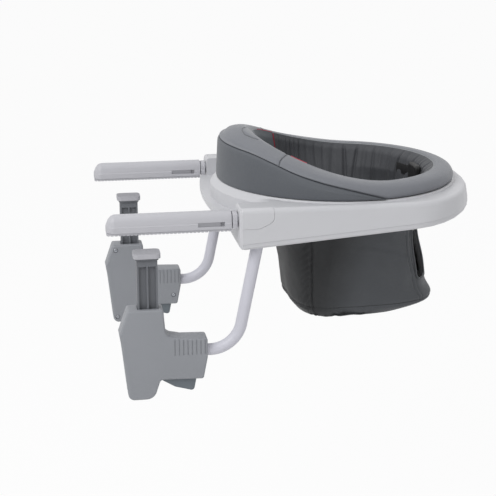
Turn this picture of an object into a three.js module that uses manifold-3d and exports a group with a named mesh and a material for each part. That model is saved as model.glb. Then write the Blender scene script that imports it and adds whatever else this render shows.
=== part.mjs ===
// Hook-on table chair: a turning baby seat in a moulded base that clips over a table's edge.
// Millimetres, +Z up. The origin is on the table's edge and top, midway between the arms.
// +X points away from the table, and the left arm is on the -Y side.
import * as THREE from 'three';
import { mergeVertices } from 'three/addons/utils/BufferGeometryUtils.js';
import Module from 'manifold-3d';

const wasm = await Module();
wasm.setup();

// Clearances between pieces
const gap = 0.3;
const runningGap = 0.8;
const overrun = 6;
const roundFacets = 40;
const legFacets = 12;
const weld = 1e-4;

// Base housing
const baseWidth = 427.5;
const armInset = 28.25;
const edgeGap = 4;
const flankRun = 83;
const endMargin = 11;
const deckTop = 36;
const frontDrop = 28.5;
const undersideRiseShare = 0.077;
const wall = 3;
const sideDraft = 3;
const deckRound = 8;
const frontRoundShare = 0.45;
const baseCorner = 4;
const trayHeight = 9;
const trayInset = 0.8;
const trayRound = 3;

// Rest lip, ramp and raised ring between the arms
const lipReach = 23.5;
const lipThickness = 6;
const lipRadius = 850;
const rampStart = 12;
const rampEnd = 62;
const cheekWidth = 46;
const ringMargin = 3.25;
const ringWallTop = 28.5;
const ringSlope = 9.5;
const ringDeckTop = 38.5;
const ringEdge = 1;

// Turntable
const boreMargin = 27.75;
const boreSetback = 14;
const skirtWall = 4;
const ledgeWidth = 14;
const ledgeBottom = 14;
const ledgeThickness = 3;
const raceThickness = 2.5;
const seatRingWall = 3;
const flangeLedge = 12;
const flangeInset = 5.5;
const flangeThickness = 2.5;
const keeperThickness = 3.5;
const notchCount = 4;
const notchWidth = 18;
const notchHeight = 10;

// Turn lock
const lockTravel = 8;
const lockSetback = 1.5;
const lockLength = 22;
const lockWidth = 16;
const lockHeight = 8;
const lockTabLength = 7;
const lockTabDrop = 8;

// Upper arms
const armReach = 200;
const armRoot = 7;
const armWidth = 30;
const armHeight = 30.35;
const armSkirtHeight = 13;
const armSkirtStep = 0.8;
const armNose = 15;
const noseAngles = [24, 46, 68, 90];
const armRoundShare = 0.8;
const armTubeRadius = 8;
const armTubeWall = 1.8;
const armTubeHeight = 17;
const armTubeInside = 90;
const armTubeShort = 18;
const gripHeight = 3.7;
const gripWidth = 27;
const gripPitch = 6;
const gripGroove = 2;
const gripGrooveDepth = 1.8;
const slotLength = 41;
const slotHeight = 6.5;
const slotDepth = 1.6;
const slotRise = 8.5;
const slotFromRoot = 11;
const slotHoleDepth = 4;
const collarLength = 7.4;
const collarShare = 0.94;
const collarGap = 1.6;

// Socket cover on the cheek, and the block behind it
const panelLength = 53;
const panelDrop = 31;
const panelCorner = 22;
const panelRise = 11;
const panelProud = 0.4;
const panelThickness = 1.4;
const panelRecess = 1.3;
const panelWrap = 12;
const blockLengthShare = 0.2;
const blockBottom = -14;
const blockTop = 27;
const blockWidth = 32;

// Lower arms: each leg leans towards the table and swivels about its own line
const legX = 40.7;
const legLeanShare = 0.2;
const legRadius = 9.5;
const legWall = 2;
const legTop = 1.5;
const runZ = -196;
const bendRadius = 50;
const bushWall = 2.4;
const bushTop = 0.5;
const bushLength = 16;
const bushFlange = 2.6;
const bushFlangeThickness = 2;
const capRadius = 13.5;
const capThickness = 2.4;

// Clamps, each drawn in its own frame with the jaw's centre and the tube's height at 0
const jawX = -138;
const clampHeel = 46;
const clampLength = 138;
const clampBelow = 73;
const clampHeight = 149;
const clampWidth = 34;
const clampWall = 2.8;
const clampRound = 2.4;
const clampShares = [
  { u: 0.101, v: 1, r: 0.03 },
  { u: 0, v: 0.735, r: 0.03 },
  { u: 0.025, v: 0.59, r: 0.04 },
  { u: 0.09, v: 0, r: 0.075 },
  { u: 0.38, v: 0, r: 0.12 },
  { u: 0.457, v: 0.215, r: 0.05 },
  { u: 0.95, v: 0.2, r: 0.03, at: 'grip foot' },
  { u: 1, v: 0.44, r: 0.1 },
  { u: 1, v: 0.655, r: 0.03, at: 'grip top' },
  { u: 0.7, v: 0.665, r: 0.08 },
  { u: 0.525, v: 0.7, r: 0.09 },
  { u: 0.5, v: 1, r: 0.03 },
];
const heelShares = [{ u: 0.105, v: 0.13 }, { u: 0.075, v: 0.85 }];
const clampScrewShares = [{ u: 0.14, v: 0.07 }, { u: 0.9, v: 0.32 }, { u: 0.14, v: 0.93 }];
const jawTravel = 55;
const jawWidth = 32;
const jawThickness = 18;
const jawBottom = -14;
const jawToeWidth = 18.5;
const jawToeHeight = 27.5;
const jawShoulder = 3.5;
const jawWall = 3;
const jawPocketDepth = 6;
const jawHead = 14;
const padLength = 42;
const padWidth = 32;
const padThickness = 8;
const padCorner = 8;
const padHollow = 3;
const tableThickness = 30;
const ribCount = 8;
const ribPitch = 6.8;
const ribGroove = 1.4;
const ribDepth = 0.8;
const ribHeight = 27;
const ribEnd = 3.5;
const tubeEnd = 42;
const saddleStart = 66;

// Trigger and brake cam inside each clamp
const triggerPivotX = 22;
const triggerPivotZ = -35;
const triggerWidth = 20;
const triggerLength = 48;
const triggerDepth = 30;
const triggerRound = 1.2;
const triggerArmSet = 4.5;
const triggerArmWidth = 6;
const pinRadius = 2.5;
const pinLength = 30.4;
const camPivotX = 27.5;
const camPivotZ = 6;
const camWidth = 14;
const camHead = 10;
const camGap = 0.5;
const springRadius = 4.6;
const springWire = 1;
const springTurnCount = 3;
const springPitch = 1.5;

// Bumper round the seat: heights fall from the back, on the table's side, to the front
const bumperMargin = 9;
const bumperBulge = 1.5;
const bumperBottom = 39.4;
const bumperLow = 62.5;
const bumperBack = 60.5;
const bumperFallAngle = 115;
const seamHeight = 70.6;
const stationAngle = 8;
const seamStepAngle = 12;
const seamShares = [1, 0.99, 0.955, 0.89, 0.77, 0.585, 0.4, 0.235, 0.08];
const seamGap = 0.8;
const bandTipAngle = 101;
const bandRiseShares = [0.3, 0.65];
const rollShares = [
  { across: 0.04, up: 0 },
  { across: 0, up: 0.22 },
  { across: 0.06, up: 0.52 },
  { across: 0.26, up: 0.8 },
  { across: 0.6, up: 0.96 },
  { across: 1, up: 1 },
];
const lipReachOut = 7;
const lipFall = 3;
const backSlope = 15;
const backSlopePower = 5;
const lipRoundShares = { across: 0.45, down: 0.3 };
const lipTuck = 1.2;
const lipTuckDrop = 6;
const lipFootStep = 4;
const openingInset = 47.5;
const openingShift = 18;
const frameInset = 19.5;
const frameWall = 3;
const frameCover = 11;

// Cloth lining, seat bag, board and harness
const liningInset = 2.5;
const liningCloth = 2.2;
const liningFold = 1.8;
const liningFoldCount = 20;
const liningBottom = 22;
const liningShort = 4;
const bagCloth = 3;
const bagTop = 21.5;
const bagDepth = 205.5;
const bagReach = 4;
const bagInset = 14;
const bagShares = [
  { depth: 0, front: 0.957, back: 1, half: 1.027 },
  { depth: 0.14, front: 0.82, back: 0.9, half: 0.88 },
  { depth: 0.35, front: 0.85, back: 0.822, half: 0.79 },
  { depth: 0.64, front: 0.925, back: 0.774, half: 0.765 },
  { depth: 0.785, front: 0.97, back: 0.671, half: 0.745 },
  { depth: 0.91, front: 1, back: 0.527, half: 0.72 },
  { depth: 0.965, front: 0.975, back: 0.397, half: 0.68 },
  { depth: 1, front: 0.86, back: 0.171, half: 0.6 },
];
const bagSquareShare = 0.62;
const legHoleTop = -36;
const legHoleDrop = 116;
const legHoleInner = 40;
const legHoleReach = 98;
const legHoleLean = 24;
const legHoleCorner = 14;
const boardLength = 108;
const boardWidth = 120;
const boardThickness = 3;
const boardCorner = 22;
const strapWidth = 20;
const strapThickness = 1.6;
const strapReachAngle = 34;
const strapLift = 2;
const buckleLength = 42;
const buckleHeight = 32;
const buckleThickness = 11;
const buckleRound = 2.4;
const buckleWaist = 6;
const crotchDepthShare = 0.8;

// Fasteners
const screwHead = 3.6;
const screwHeadHeight = 2.2;
const screwShank = 1.6;
const screwLength = 9;
const bossRadius = 4.6;
const screwPairs = 3;
const screwStart = 112;
const screwPitch = 62;
const screwInset = 11;

const degrees = Math.PI / 180;
const fullTurn = 2 * Math.PI;

// Sizes that follow from the base's width
const armY = baseWidth / 2 - armInset;
const ringRadius = baseWidth / 2 - ringMargin;
const ringDeckRadius = ringRadius - ringSlope;
const boreRadius = baseWidth / 2 - boreMargin;
const ledgeInner = boreRadius - ledgeWidth;
const seatX = boreRadius + boreSetback;
const flankEndX = seatX + flankRun;
const endLength = ringRadius + endMargin - flankRun;
const blockLength = baseWidth * blockLengthShare;
const bumperRadius = ringRadius - bumperMargin;
const flangeOuter = bumperRadius - flangeInset;
const flangeInner = ledgeInner - flangeLedge;
const frameRadius = bumperRadius - frameInset;
const openingRadius = bumperRadius - openingInset;
const liningRadius = flangeInner - liningInset;
const bagFront = flangeInner + bagReach;
const bagBack = flangeInner - bagInset;
const bagHalf = flangeInner - bagInset;
const cheekInner = baseWidth / 2 - cheekWidth;
const lean = Math.atan(legLeanShare);
const sides = [
  { tag: 'left', sign: -1 },
  { tag: 'right', sign: 1 },
];

// Solids and meshes

function outwards(positions, triangles) {
  let volume = 0;
  const corner = [new THREE.Vector3(), new THREE.Vector3(), new THREE.Vector3()];
  for (let i = 0; i < triangles.length; i += 3) {
    corner.forEach((point, k) => point.fromArray(positions, 3 * triangles[i + k]));
    volume += corner[0].dot(corner[1].clone().cross(corner[2]));
  }
  if (volume < 0) {
    for (let i = 0; i < triangles.length; i += 3) {
      [triangles[i], triangles[i + 1]] = [triangles[i + 1], triangles[i]];
    }
  }
  return triangles;
}

function solid(geometry) {
  const bare = geometry.clone();
  bare.deleteAttribute('normal');
  bare.deleteAttribute('uv');
  const merged = mergeVertices(bare, weld);
  const corners = Array.from(merged.index.array);
  const kept = [];
  for (let i = 0; i < corners.length; i += 3) {
    const [a, b, c] = corners.slice(i, i + 3);
    if (a !== b && b !== c && c !== a) {
      kept.push(a, b, c);
    }
  }
  const vertProperties = Float32Array.from(merged.attributes.position.array);
  const triVerts = Uint32Array.from(outwards(vertProperties, kept));
  return new wasm.Manifold(new wasm.Mesh({ numProp: 3, vertProperties, triVerts }));
}

function geometryOf(body) {
  const mesh = body.getMesh();
  const geometry = new THREE.BufferGeometry();
  geometry.setAttribute('position', new THREE.BufferAttribute(Float32Array.from(mesh.vertProperties), 3));
  geometry.setIndex(Array.from(mesh.triVerts));
  return geometry;
}

const union = (first, ...others) => others.reduce((sum, other) => sum.add(other), first);
const without = (first, ...others) => others.reduce((rest, other) => rest.subtract(other), first);

// A box between two corners
function block(low, high) {
  const size = high.map((value, axis) => value - low[axis]);
  const geometry = new THREE.BoxGeometry(...size);
  geometry.translate(...low.map((value, axis) => value + size[axis] / 2));
  return solid(geometry);
}

// A box on one side of the part: y counts outwards from the middle
function sideBlock(sign, low, high) {
  const y = [sign * low[1], sign * high[1]];
  return block([low[0], Math.min(...y), low[2]], [high[0], Math.max(...y), high[2]]);
}

// A round bar between two points
function bar(from, to, radius, facets = 16) {
  const start = new THREE.Vector3(...from);
  const along = new THREE.Vector3(...to).sub(start);
  const geometry = new THREE.CylinderGeometry(radius, radius, along.length(), facets);
  const up = new THREE.Vector3(0, 1, 0);
  geometry.applyQuaternion(new THREE.Quaternion().setFromUnitVectors(up, along.clone().normalize()));
  geometry.translate(...start.addScaledVector(along, 1 / 2).toArray());
  return solid(geometry);
}

// A turned ring or disc about the seat's axis, from points [radius, height]
function turned(profile, facets = roundFacets, x = seatX) {
  const points = [...profile, profile[0]].map(([radius, height]) => new THREE.Vector2(radius, height));
  const geometry = new THREE.LatheGeometry(points, facets);
  geometry.rotateX(Math.PI / 2);
  geometry.translate(x, 0, 0);
  return solid(geometry);
}

const ring = (inner, outer, low, high, facets = roundFacets) =>
  turned([[inner, low], [outer, low], [outer, high], [inner, high]], facets);
const disc = (radius, low, high, facets = roundFacets) =>
  turned([[0, low], [radius, low], [radius, high], [0, high]], facets);

// An outline with rounded corners, from points { x, y, r }
function outline(corners) {
  const shape = new THREE.Shape();
  corners.forEach((corner, i) => {
    const point = new THREE.Vector2(corner.x, corner.y);
    const before = corners[(i + corners.length - 1) % corners.length];
    const after = corners[(i + 1) % corners.length];
    const toBefore = new THREE.Vector2(before.x, before.y).sub(point);
    const toAfter = new THREE.Vector2(after.x, after.y).sub(point);
    const half = toBefore.angleTo(toAfter) / 2;
    const longest = Math.min(toBefore.length(), toAfter.length()) / 2;
    const run = Math.min((corner.r ?? 0) / Math.tan(half), longest);
    const start = point.clone().addScaledVector(toBefore.normalize(), run);
    const end = point.clone().addScaledVector(toAfter.normalize(), run);
    if (i === 0) {
      shape.moveTo(start.x, start.y);
    } else {
      shape.lineTo(start.x, start.y);
    }
    if (run > 0) {
      shape.quadraticCurveTo(point.x, point.y, end.x, end.y);
    }
  });
  shape.closePath();
  return shape;
}

// A flat outline given thickness along Z, along Y or along X
function plate(shape, low, high, curveSegments = 4, bevel = 0) {
  const options = { depth: high - low - 2 * bevel, curveSegments, bevelEnabled: bevel > 0 };
  if (bevel > 0) {
    Object.assign(options, { bevelSize: bevel, bevelThickness: bevel, bevelOffset: -bevel, bevelSegments: 1 });
  }
  const geometry = new THREE.ExtrudeGeometry(shape, options);
  geometry.translate(0, 0, low + bevel);
  return geometry;
}
const flatPlate = (shape, low, high, segments) => solid(plate(shape, low, high, segments));
function uprightPlate(shape, low, high, segments = 4, bevel = 0) {
  const geometry = plate(shape, -high, -low, segments, bevel);
  geometry.rotateX(Math.PI / 2);
  return solid(geometry);
}
function crossPlate(shape, low, high, segments = 4) {
  const geometry = plate(shape, low, high, segments);
  geometry.rotateX(Math.PI / 2);
  geometry.rotateZ(Math.PI / 2);
  return solid(geometry);
}

// A closed skin through rings that have the same number of points: open ends are capped,
// and a looped skin joins its last ring to its first
function skin(rings, looped = false) {
  const count = rings[0].length;
  const positions = rings.flat().flatMap((point) => point);
  const triangles = [];
  const spans = looped ? rings.length : rings.length - 1;
  for (let i = 0; i < spans; i += 1) {
    const here = i * count;
    const next = ((i + 1) % rings.length) * count;
    for (let k = 0; k < count; k += 1) {
      const k2 = (k + 1) % count;
      triangles.push(here + k, here + k2, next + k2, here + k, next + k2, next + k);
    }
  }
  if (!looped) {
    triangles.push(...cap(rings[0], 0, true), ...cap(rings.at(-1), (rings.length - 1) * count, false));
  }
  const geometry = new THREE.BufferGeometry();
  geometry.setAttribute('position', new THREE.Float32BufferAttribute(positions, 3));
  geometry.setIndex(triangles);
  return solid(geometry);
}

function cap(points, first, reversed) {
  const normal = new THREE.Vector3();
  points.forEach((point, i) => {
    const next = points[(i + 1) % points.length];
    normal.x += (point[1] - next[1]) * (point[2] + next[2]);
    normal.y += (point[2] - next[2]) * (point[0] + next[0]);
    normal.z += (point[0] - next[0]) * (point[1] + next[1]);
  });
  const sizes = normal.toArray().map(Math.abs);
  const drop = sizes.indexOf(Math.max(...sizes));
  const [u, v] = [[1, 2], [2, 0], [0, 1]][drop];
  const flat = points.map((point) => new THREE.Vector2(point[u], point[v]));
  const turn = Math.sign(THREE.ShapeUtils.area(flat));
  return THREE.ShapeUtils.triangulateShape(flat, []).flatMap(([a, b, c]) => {
    const alike = Math.sign(THREE.ShapeUtils.area([flat[a], flat[b], flat[c]])) === turn;
    return (alike !== reversed ? [a, b, c] : [a, c, b]).map((index) => first + index);
  });
}

// Finishes, as seen on the real chair

const finishes = {
  shell: { color: 0xc9cacc, roughness: 0.45, metalness: 0 },
  arm: { color: 0xc8c9ce, roughness: 0.5, metalness: 0 },
  rubber: { color: 0xb9babd, roughness: 0.8, metalness: 0 },
  steel: { color: 0xb8babd, roughness: 0.35, metalness: 0.9 },
  tube: { color: 0xd6d6de, roughness: 0.4, metalness: 0 },
  clamp: { color: 0x909297, roughness: 0.5, metalness: 0 },
  trigger: { color: 0x666c70, roughness: 0.45, metalness: 0 },
  inner: { color: 0x6a6c70, roughness: 0.6, metalness: 0 },
  rim: { color: 0x8d8f94, roughness: 0.75, metalness: 0 },
  band: { color: 0x606468, roughness: 0.8, metalness: 0 },
  cloth: { color: 0x3c3e41, roughness: 0.9, metalness: 0 },
  webbing: { color: 0x1f2022, roughness: 0.85, metalness: 0 },
};

const chair = new THREE.Group();

function add(name, body, finish, parent = chair) {
  const mesh = new THREE.Mesh(geometryOf(body), new THREE.MeshStandardMaterial(finishes[finish]));
  mesh.name = name;
  parent.add(mesh);
  return mesh;
}

// Base housing: plan outline, underside and the moulded hull

const undersideAt = (x) => undersideRiseShare * (x - edgeGap) - frontDrop;

// Counter-clockwise plan outline, drawn in by an inset all round
function basePlan(inset, frontInset = inset) {
  const half = baseWidth / 2 - inset;
  const front = edgeGap + frontInset;
  const points = [[front, -half + baseCorner], [front + baseCorner, -half]];
  const steps = 16;
  for (let i = 0; i <= steps; i += 1) {
    const angle = Math.PI * (i / steps - 1 / 2);
    points.push([flankEndX + (endLength - inset) * Math.cos(angle), half * Math.sin(angle)]);
  }
  points.push([front + baseCorner, half], [front, half - baseCorner]);
  return points;
}

// The hull between the tray's edge and the deck, moved inwards by an inset
function hull(inset, bottomLift = 0) {
  const rings = [basePlan(inset).map(([x, y]) => [x, y, undersideAt(x) + trayHeight + bottomLift])];
  const steps = 3;
  const top = deckTop - inset;
  const round = Math.max(deckRound - inset, gap);
  for (let i = 0; i <= steps; i += 1) {
    const angle = (i / steps) * (Math.PI / 2);
    const drawnIn = round * (1 - Math.cos(angle));
    const z = top - round + round * Math.sin(angle);
    const front = inset + drawnIn * frontRoundShare;
    rings.push(basePlan(inset + sideDraft + drawnIn, front).map(([x, y]) => [x, y, z]));
  }
  return skin(rings);
}

// The ramp that leads from the rest lip up to the deck, as the space above it
function rampSpace(drop, halfWidth) {
  const shape = new THREE.Shape();
  const low = lipThickness - drop;
  const high = deckTop - drop;
  const middle = (rampStart + rampEnd) / 2;
  shape.moveTo(edgeGap - overrun, low);
  shape.lineTo(rampStart, low);
  shape.bezierCurveTo(middle, low, middle, high, rampEnd, high);
  shape.lineTo(rampEnd, deckTop + overrun);
  shape.lineTo(edgeGap - overrun, deckTop + overrun);
  return uprightPlate(shape, -halfWidth, halfWidth, 6);
}

// The thin lip that lies on the table, with its gently curved front edge
function restLip() {
  const half = cheekInner - gap;
  const shape = new THREE.Shape();
  const spread = Math.asin(half / lipRadius);
  const centre = lipRadius - lipReach;
  shape.moveTo(edgeGap + wall, -half);
  shape.lineTo(edgeGap + wall, half);
  shape.absarc(centre, 0, lipRadius, Math.PI - spread, Math.PI + spread, false);
  return flatPlate(shape, 0, lipThickness, 10);
}

const ringWall = [
  [boreRadius - gap, 0],
  [ringRadius, 0],
  [ringRadius, ringWallTop - ringEdge],
  [ringRadius - ringEdge, ringWallTop],
  [ringDeckRadius, ringDeckTop - ringEdge / 2],
  [ringDeckRadius - ringEdge, ringDeckTop],
  [boreRadius - gap, ringDeckTop],
];
const insideRing = [
  [boreRadius - gap, -frontDrop - overrun],
  [ringRadius - wall, -frontDrop - overrun],
  [ringRadius - wall, ringWallTop - wall],
  [ringDeckRadius - wall / 2, ringDeckTop - 2 * wall],
  [boreRadius - gap, ringDeckTop - 2 * wall],
];

// Screws that hold the tray up to the hull, as plan places
const screwPlaces = Array.from({ length: screwPairs }, (_, i) => screwStart + i * screwPitch)
  .flatMap((x) => [[x, -1], [x, 1]]);
const screwY = baseWidth / 2 - screwInset;

// The socket cover's outline on the cheek: the cut through the hull that it fills
function panelCut(sign, grow) {
  const right = edgeGap + panelLength + grow;
  const foot = deckTop - panelDrop - grow;
  const left = edgeGap + gap - grow;
  const shape = outline([
    { x: left, y: foot },
    { x: right - panelCorner, y: foot, r: panelCorner },
    { x: right, y: foot + panelRise, r: panelRise },
    { x: right, y: deckTop + overrun },
    { x: left, y: deckTop + overrun },
  ]);
  const inner = baseWidth / 2 - panelWrap - grow;
  const outer = baseWidth / 2 + overrun;
  return uprightPlate(shape, Math.min(sign * inner, sign * outer), Math.max(sign * inner, sign * outer), 5);
}

// A layer of the hull between two insets, open at the front
function hullSkin(outer, inner) {
  const core = hull(inner);
  return without(hull(outer), core, core.translate([-overrun, 0, 0]));
}

const socketCover = (sign) =>
  panelCut(sign, 0).intersect(hullSkin(-panelProud, panelThickness - panelProud));

function upperShell() {
  const far = flankEndX + endLength;
  const low = -frontDrop - overrun;
  const trayRoom = uprightPlate(new THREE.Shape([
    new THREE.Vector2(edgeGap, low),
    new THREE.Vector2(far, low),
    new THREE.Vector2(far, undersideAt(far) + trayHeight + gap),
    new THREE.Vector2(edgeGap, undersideAt(edgeGap) + trayHeight + gap),
  ]), -baseWidth, baseWidth);
  const outside = union(
    without(hull(0, gap), rampSpace(0, cheekInner)),
    without(turned(ringWall), trayRoom),
    restLip(),
  );
  const inFront = block(
    [edgeGap + wall, -baseWidth, low],
    [far, baseWidth, deckTop],
  );
  const cavity = without(
    union(
      without(hull(wall, -overrun), rampSpace(wall, cheekInner + wall)),
      turned(insideRing).intersect(inFront),
    ),
    disc(boreRadius + skirtWall, low, deckTop),
  );
  const bosses = screwPlaces.map(([x, sign]) =>
    bar([x, sign * screwY, undersideAt(x) + trayHeight + gap], [x, sign * screwY, deckTop - wall + gap],
      bossRadius, 8));
  const pilots = screwPlaces.map(([x, sign]) =>
    bar([x, sign * screwY, undersideAt(x)], [x, sign * screwY, undersideAt(x) + trayHeight + screwLength],
      screwShank + gap, 8));
  const armHoles = sides.map(({ sign }) =>
    bar([-overrun, sign * armY, armTubeHeight], [edgeGap + wall + overrun, sign * armY, armTubeHeight],
      armTubeRadius + gap));
  const panels = sides.map(({ sign }) => panelCut(sign, gap).intersect(hullSkin(-wall, panelRecess)));
  const lockHole = block(
    [seatX + boreRadius - overrun, -lockWidth / 2 - gap, lockBottom - gap],
    [seatX + boreRadius + skirtWall + gap, lockWidth / 2 + gap, lockBottom + lockHeight + gap],
  );
  const shell = without(outside, cavity, disc(boreRadius, low, deckTop + overrun));
  const ledge = ring(ledgeInner, boreRadius + gap, ledgeBottom, ledgeBottom + ledgeThickness);
  return without(union(shell, ledge, ...bosses), ...pilots, ...armHoles, ...panels, lockHole);
}

// The tray that closes the base from below, with its upstanding rim
function lowerTray() {
  const levels = [[trayInset + trayRound, 0], [trayInset, trayRound], [trayInset, trayHeight]];
  const pan = skin(levels.map(([inset, lift]) =>
    basePlan(inset).map(([x, y]) => [x, y, undersideAt(x) + lift])));
  const pocketLevels = [[trayInset + 2 * wall, wall], [trayInset + wall, trayHeight + overrun]];
  const pocket = skin(pocketLevels.map(([inset, lift]) =>
    basePlan(inset).map(([x, y]) => [x, y, undersideAt(x) + lift])));
  const low = -frontDrop - overrun;
  const core = disc(boreRadius + skirtWall, low, deckTop);
  const legHoles = sides.map(({ sign }) =>
    bar([legX + legLeanShare * low, sign * armY, low], [legX, sign * armY, 0], legRadius + bushWall, legFacets));
  const screwHoles = screwPlaces.map(([x, sign]) =>
    bar([x, sign * screwY, low], [x, sign * screwY, deckTop], screwShank + gap, 8));
  const headRooms = screwPlaces.map(([x, sign]) =>
    bar([x, sign * screwY, low], [x, sign * screwY, undersideAt(x) + screwHeadHeight], screwHead + gap, 8));
  const lockSlot = block(
    [lockX - gap + lockLength - lockTabLength - lockTravel, -lockWidth / 2 - gap, low],
    [lockX + lockLength + gap, lockWidth / 2 + gap, lockBottom],
  );
  const hollow = without(pocket, core);
  const tray = without(pan, hollow, disc(boreRadius, low - overrun, deckTop));
  const screwPads = screwPlaces.map(([x, sign]) =>
    bar([x, sign * screwY, undersideAt(x) + wall - gap], [x, sign * screwY, undersideAt(x) + trayHeight],
      bossRadius, 8));
  return without(union(tray, ...screwPads), ...legHoles, ...screwHoles, ...headRooms, lockSlot);
}

// Turn lock: a bolt that the parent slides into one of the seat ring's notches
const lockX = seatX + boreRadius + lockSetback;
const lockBottom = ledgeBottom + ledgeThickness + raceThickness + 3 * gap + seatRingWall;

function turnLock() {
  const half = lockWidth / 2;
  const bolt = block([lockX, -half, lockBottom], [lockX + lockLength, half, lockBottom + lockHeight]);
  const tabX = lockX + lockLength - lockTabLength;
  const tabFoot = undersideAt(lockX) - lockTabDrop;
  const tab = block([tabX, -half, tabFoot], [tabX + lockTabLength, half, lockBottom + lockHeight]);
  return bolt.add(tab);
}

// Upper arms

// Half-round section over straight sides, with a low step where the skirt stands proud
function armSection(width, height, foot) {
  const half = width / 2;
  const points = [[-half, foot], [half, foot], [half, armSkirtHeight]];
  const steps = 8;
  const crown = height - armSkirtHeight - armSkirtStep;
  for (let i = 0; i <= steps; i += 1) {
    const angle = (i / steps) * Math.PI;
    const across = Math.sign(Math.cos(angle)) * Math.abs(Math.cos(angle)) ** armRoundShare;
    points.push([
      (half - armSkirtStep) * across,
      armSkirtHeight + armSkirtStep + crown * Math.abs(Math.sin(angle)) ** armRoundShare,
    ]);
  }
  points.push([-half, armSkirtHeight]);
  return points;
}

function armSleeve(sign) {
  const foot = gripHeight + gap;
  const section = armSection(armWidth, armHeight, foot);
  const nose = noseAngles.map((angle) => ({
    x: -armReach + armNose * (1 - Math.cos(angle * degrees)),
    size: Math.sin(angle * degrees),
  }));
  const rings = [...nose, { x: -armRoot, size: 1 }].map(({ x, size }) =>
    section.map(([y, z]) => [x, sign * armY + y * size, foot + (z - foot) * size]));
  const bore = bar([-armReach + armTubeShort, sign * armY, armTubeHeight], [0, sign * armY, armTubeHeight],
    armTubeRadius + gap);
  const cuts = [-1, 1].map((face) => {
    const end = -armRoot - slotFromRoot;
    const y = sign * armY + face * armWidth / 2;
    const inner = y - face * slotDepth;
    const hole = y - face * slotHoleDepth;
    const outer = y + face * overrun;
    return union(
      block([end - slotLength, Math.min(inner, outer), slotRise],
        [end, Math.max(inner, outer), slotRise + slotHeight]),
      block([end - slotHeight + gap, Math.min(hole, outer), slotRise],
        [end, Math.max(hole, outer), slotRise + slotHeight]),
    );
  });
  return without(skin(rings), bore, ...cuts);
}

// The ribbed rubber sole that grips the table
function gripSole(sign) {
  const start = -armReach + gripGroove;
  const end = -armRoot - gap;
  const shape = new THREE.Shape();
  shape.moveTo(start, 0);
  for (let x = start + gripPitch - gripGroove; x + gripGroove < end; x += gripPitch) {
    shape.lineTo(x, 0);
    shape.lineTo(x + gripGroove / 2, gripGrooveDepth);
    shape.lineTo(x + gripGroove, 0);
  }
  shape.lineTo(end, 0);
  shape.lineTo(end, gripHeight);
  shape.lineTo(start, gripHeight);
  const half = gripWidth / 2;
  const comb = uprightPlate(shape, sign * armY - half, sign * armY + half, 1);
  const plan = outline([
    { x: end + overrun, y: -half, r: 0 },
    { x: end + overrun, y: half, r: 0 },
    { x: start, y: half, r: half - overrun },
    { x: start, y: -half, r: half - overrun },
  ]);
  const trim = plate(plan, -overrun, gripHeight + overrun, 4);
  trim.translate(0, sign * armY, 0);
  return comb.intersect(solid(trim));
}

function armCollar(sign) {
  const foot = gripHeight;
  const section = armSection(armWidth * collarShare, armHeight * collarShare, foot);
  const shape = new THREE.Shape(section.map(([y, z]) => new THREE.Vector2(y, z)));
  const start = -armRoot + collarGap;
  const body = crossPlate(shape, start, start + collarLength);
  return body.translate([0, sign * armY, 0]).subtract(
    bar([-armReach, sign * armY, armTubeHeight], [armReach, sign * armY, armTubeHeight], armTubeRadius + gap));
}

function armTube(sign) {
  const from = -armReach + armTubeShort + gap;
  const outer = bar([from, sign * armY, armTubeHeight], [armTubeInside, sign * armY, armTubeHeight], armTubeRadius);
  const inner = bar([from - overrun, sign * armY, armTubeHeight],
    [armTubeInside + overrun, sign * armY, armTubeHeight], armTubeRadius - armTubeWall, 12);
  return outer.subtract(inner);
}

// Socket block, cover, bush and cap

// A point on the line that a lower leg swivels about, at a distance along it
const onLeg = (sign, along, x = legX) =>
  [x + Math.sin(lean) * along, sign * armY, Math.cos(lean) * along];

function socketBlock(sign) {
  const front = edgeGap + wall + gap;
  const inner = cheekInner + wall + gap;
  const bushRadius = legRadius + bushWall;
  return without(
    sideBlock(sign, [front, inner, blockBottom], [front + blockLength, inner + blockWidth, blockTop]),
    bar([0, sign * armY, armTubeHeight], [armTubeInside + 2 * overrun, sign * armY, armTubeHeight],
      armTubeRadius + gap),
    bar(onLeg(sign, -frontDrop - 2 * overrun), onLeg(sign, bushTop), bushRadius + 2 * gap, legFacets),
    bar(onLeg(sign, bushTop - gap), onLeg(sign, legTop + capThickness + gap), capRadius + 2 * gap, legFacets),
  );
}

function legBush(sign) {
  const low = bushTop - bushLength;
  const sleeve = bar(onLeg(sign, low - bushFlangeThickness), onLeg(sign, bushTop - gap),
    legRadius + bushWall, legFacets);
  const flange = bar(onLeg(sign, low - bushFlangeThickness), onLeg(sign, low),
    legRadius + bushWall + bushFlange, legFacets);
  const bore = bar(onLeg(sign, low - overrun), onLeg(sign, bushTop + overrun), legRadius + 2 * gap,
    legFacets);
  const clear = block([0, -baseWidth, runZ], [baseWidth, baseWidth, blockBottom - gap]);
  return union(sleeve, flange.intersect(clear)).subtract(bore);
}

const legCap = (sign) => bar(onLeg(sign, legTop), onLeg(sign, legTop + capThickness), capRadius, legFacets);

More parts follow.
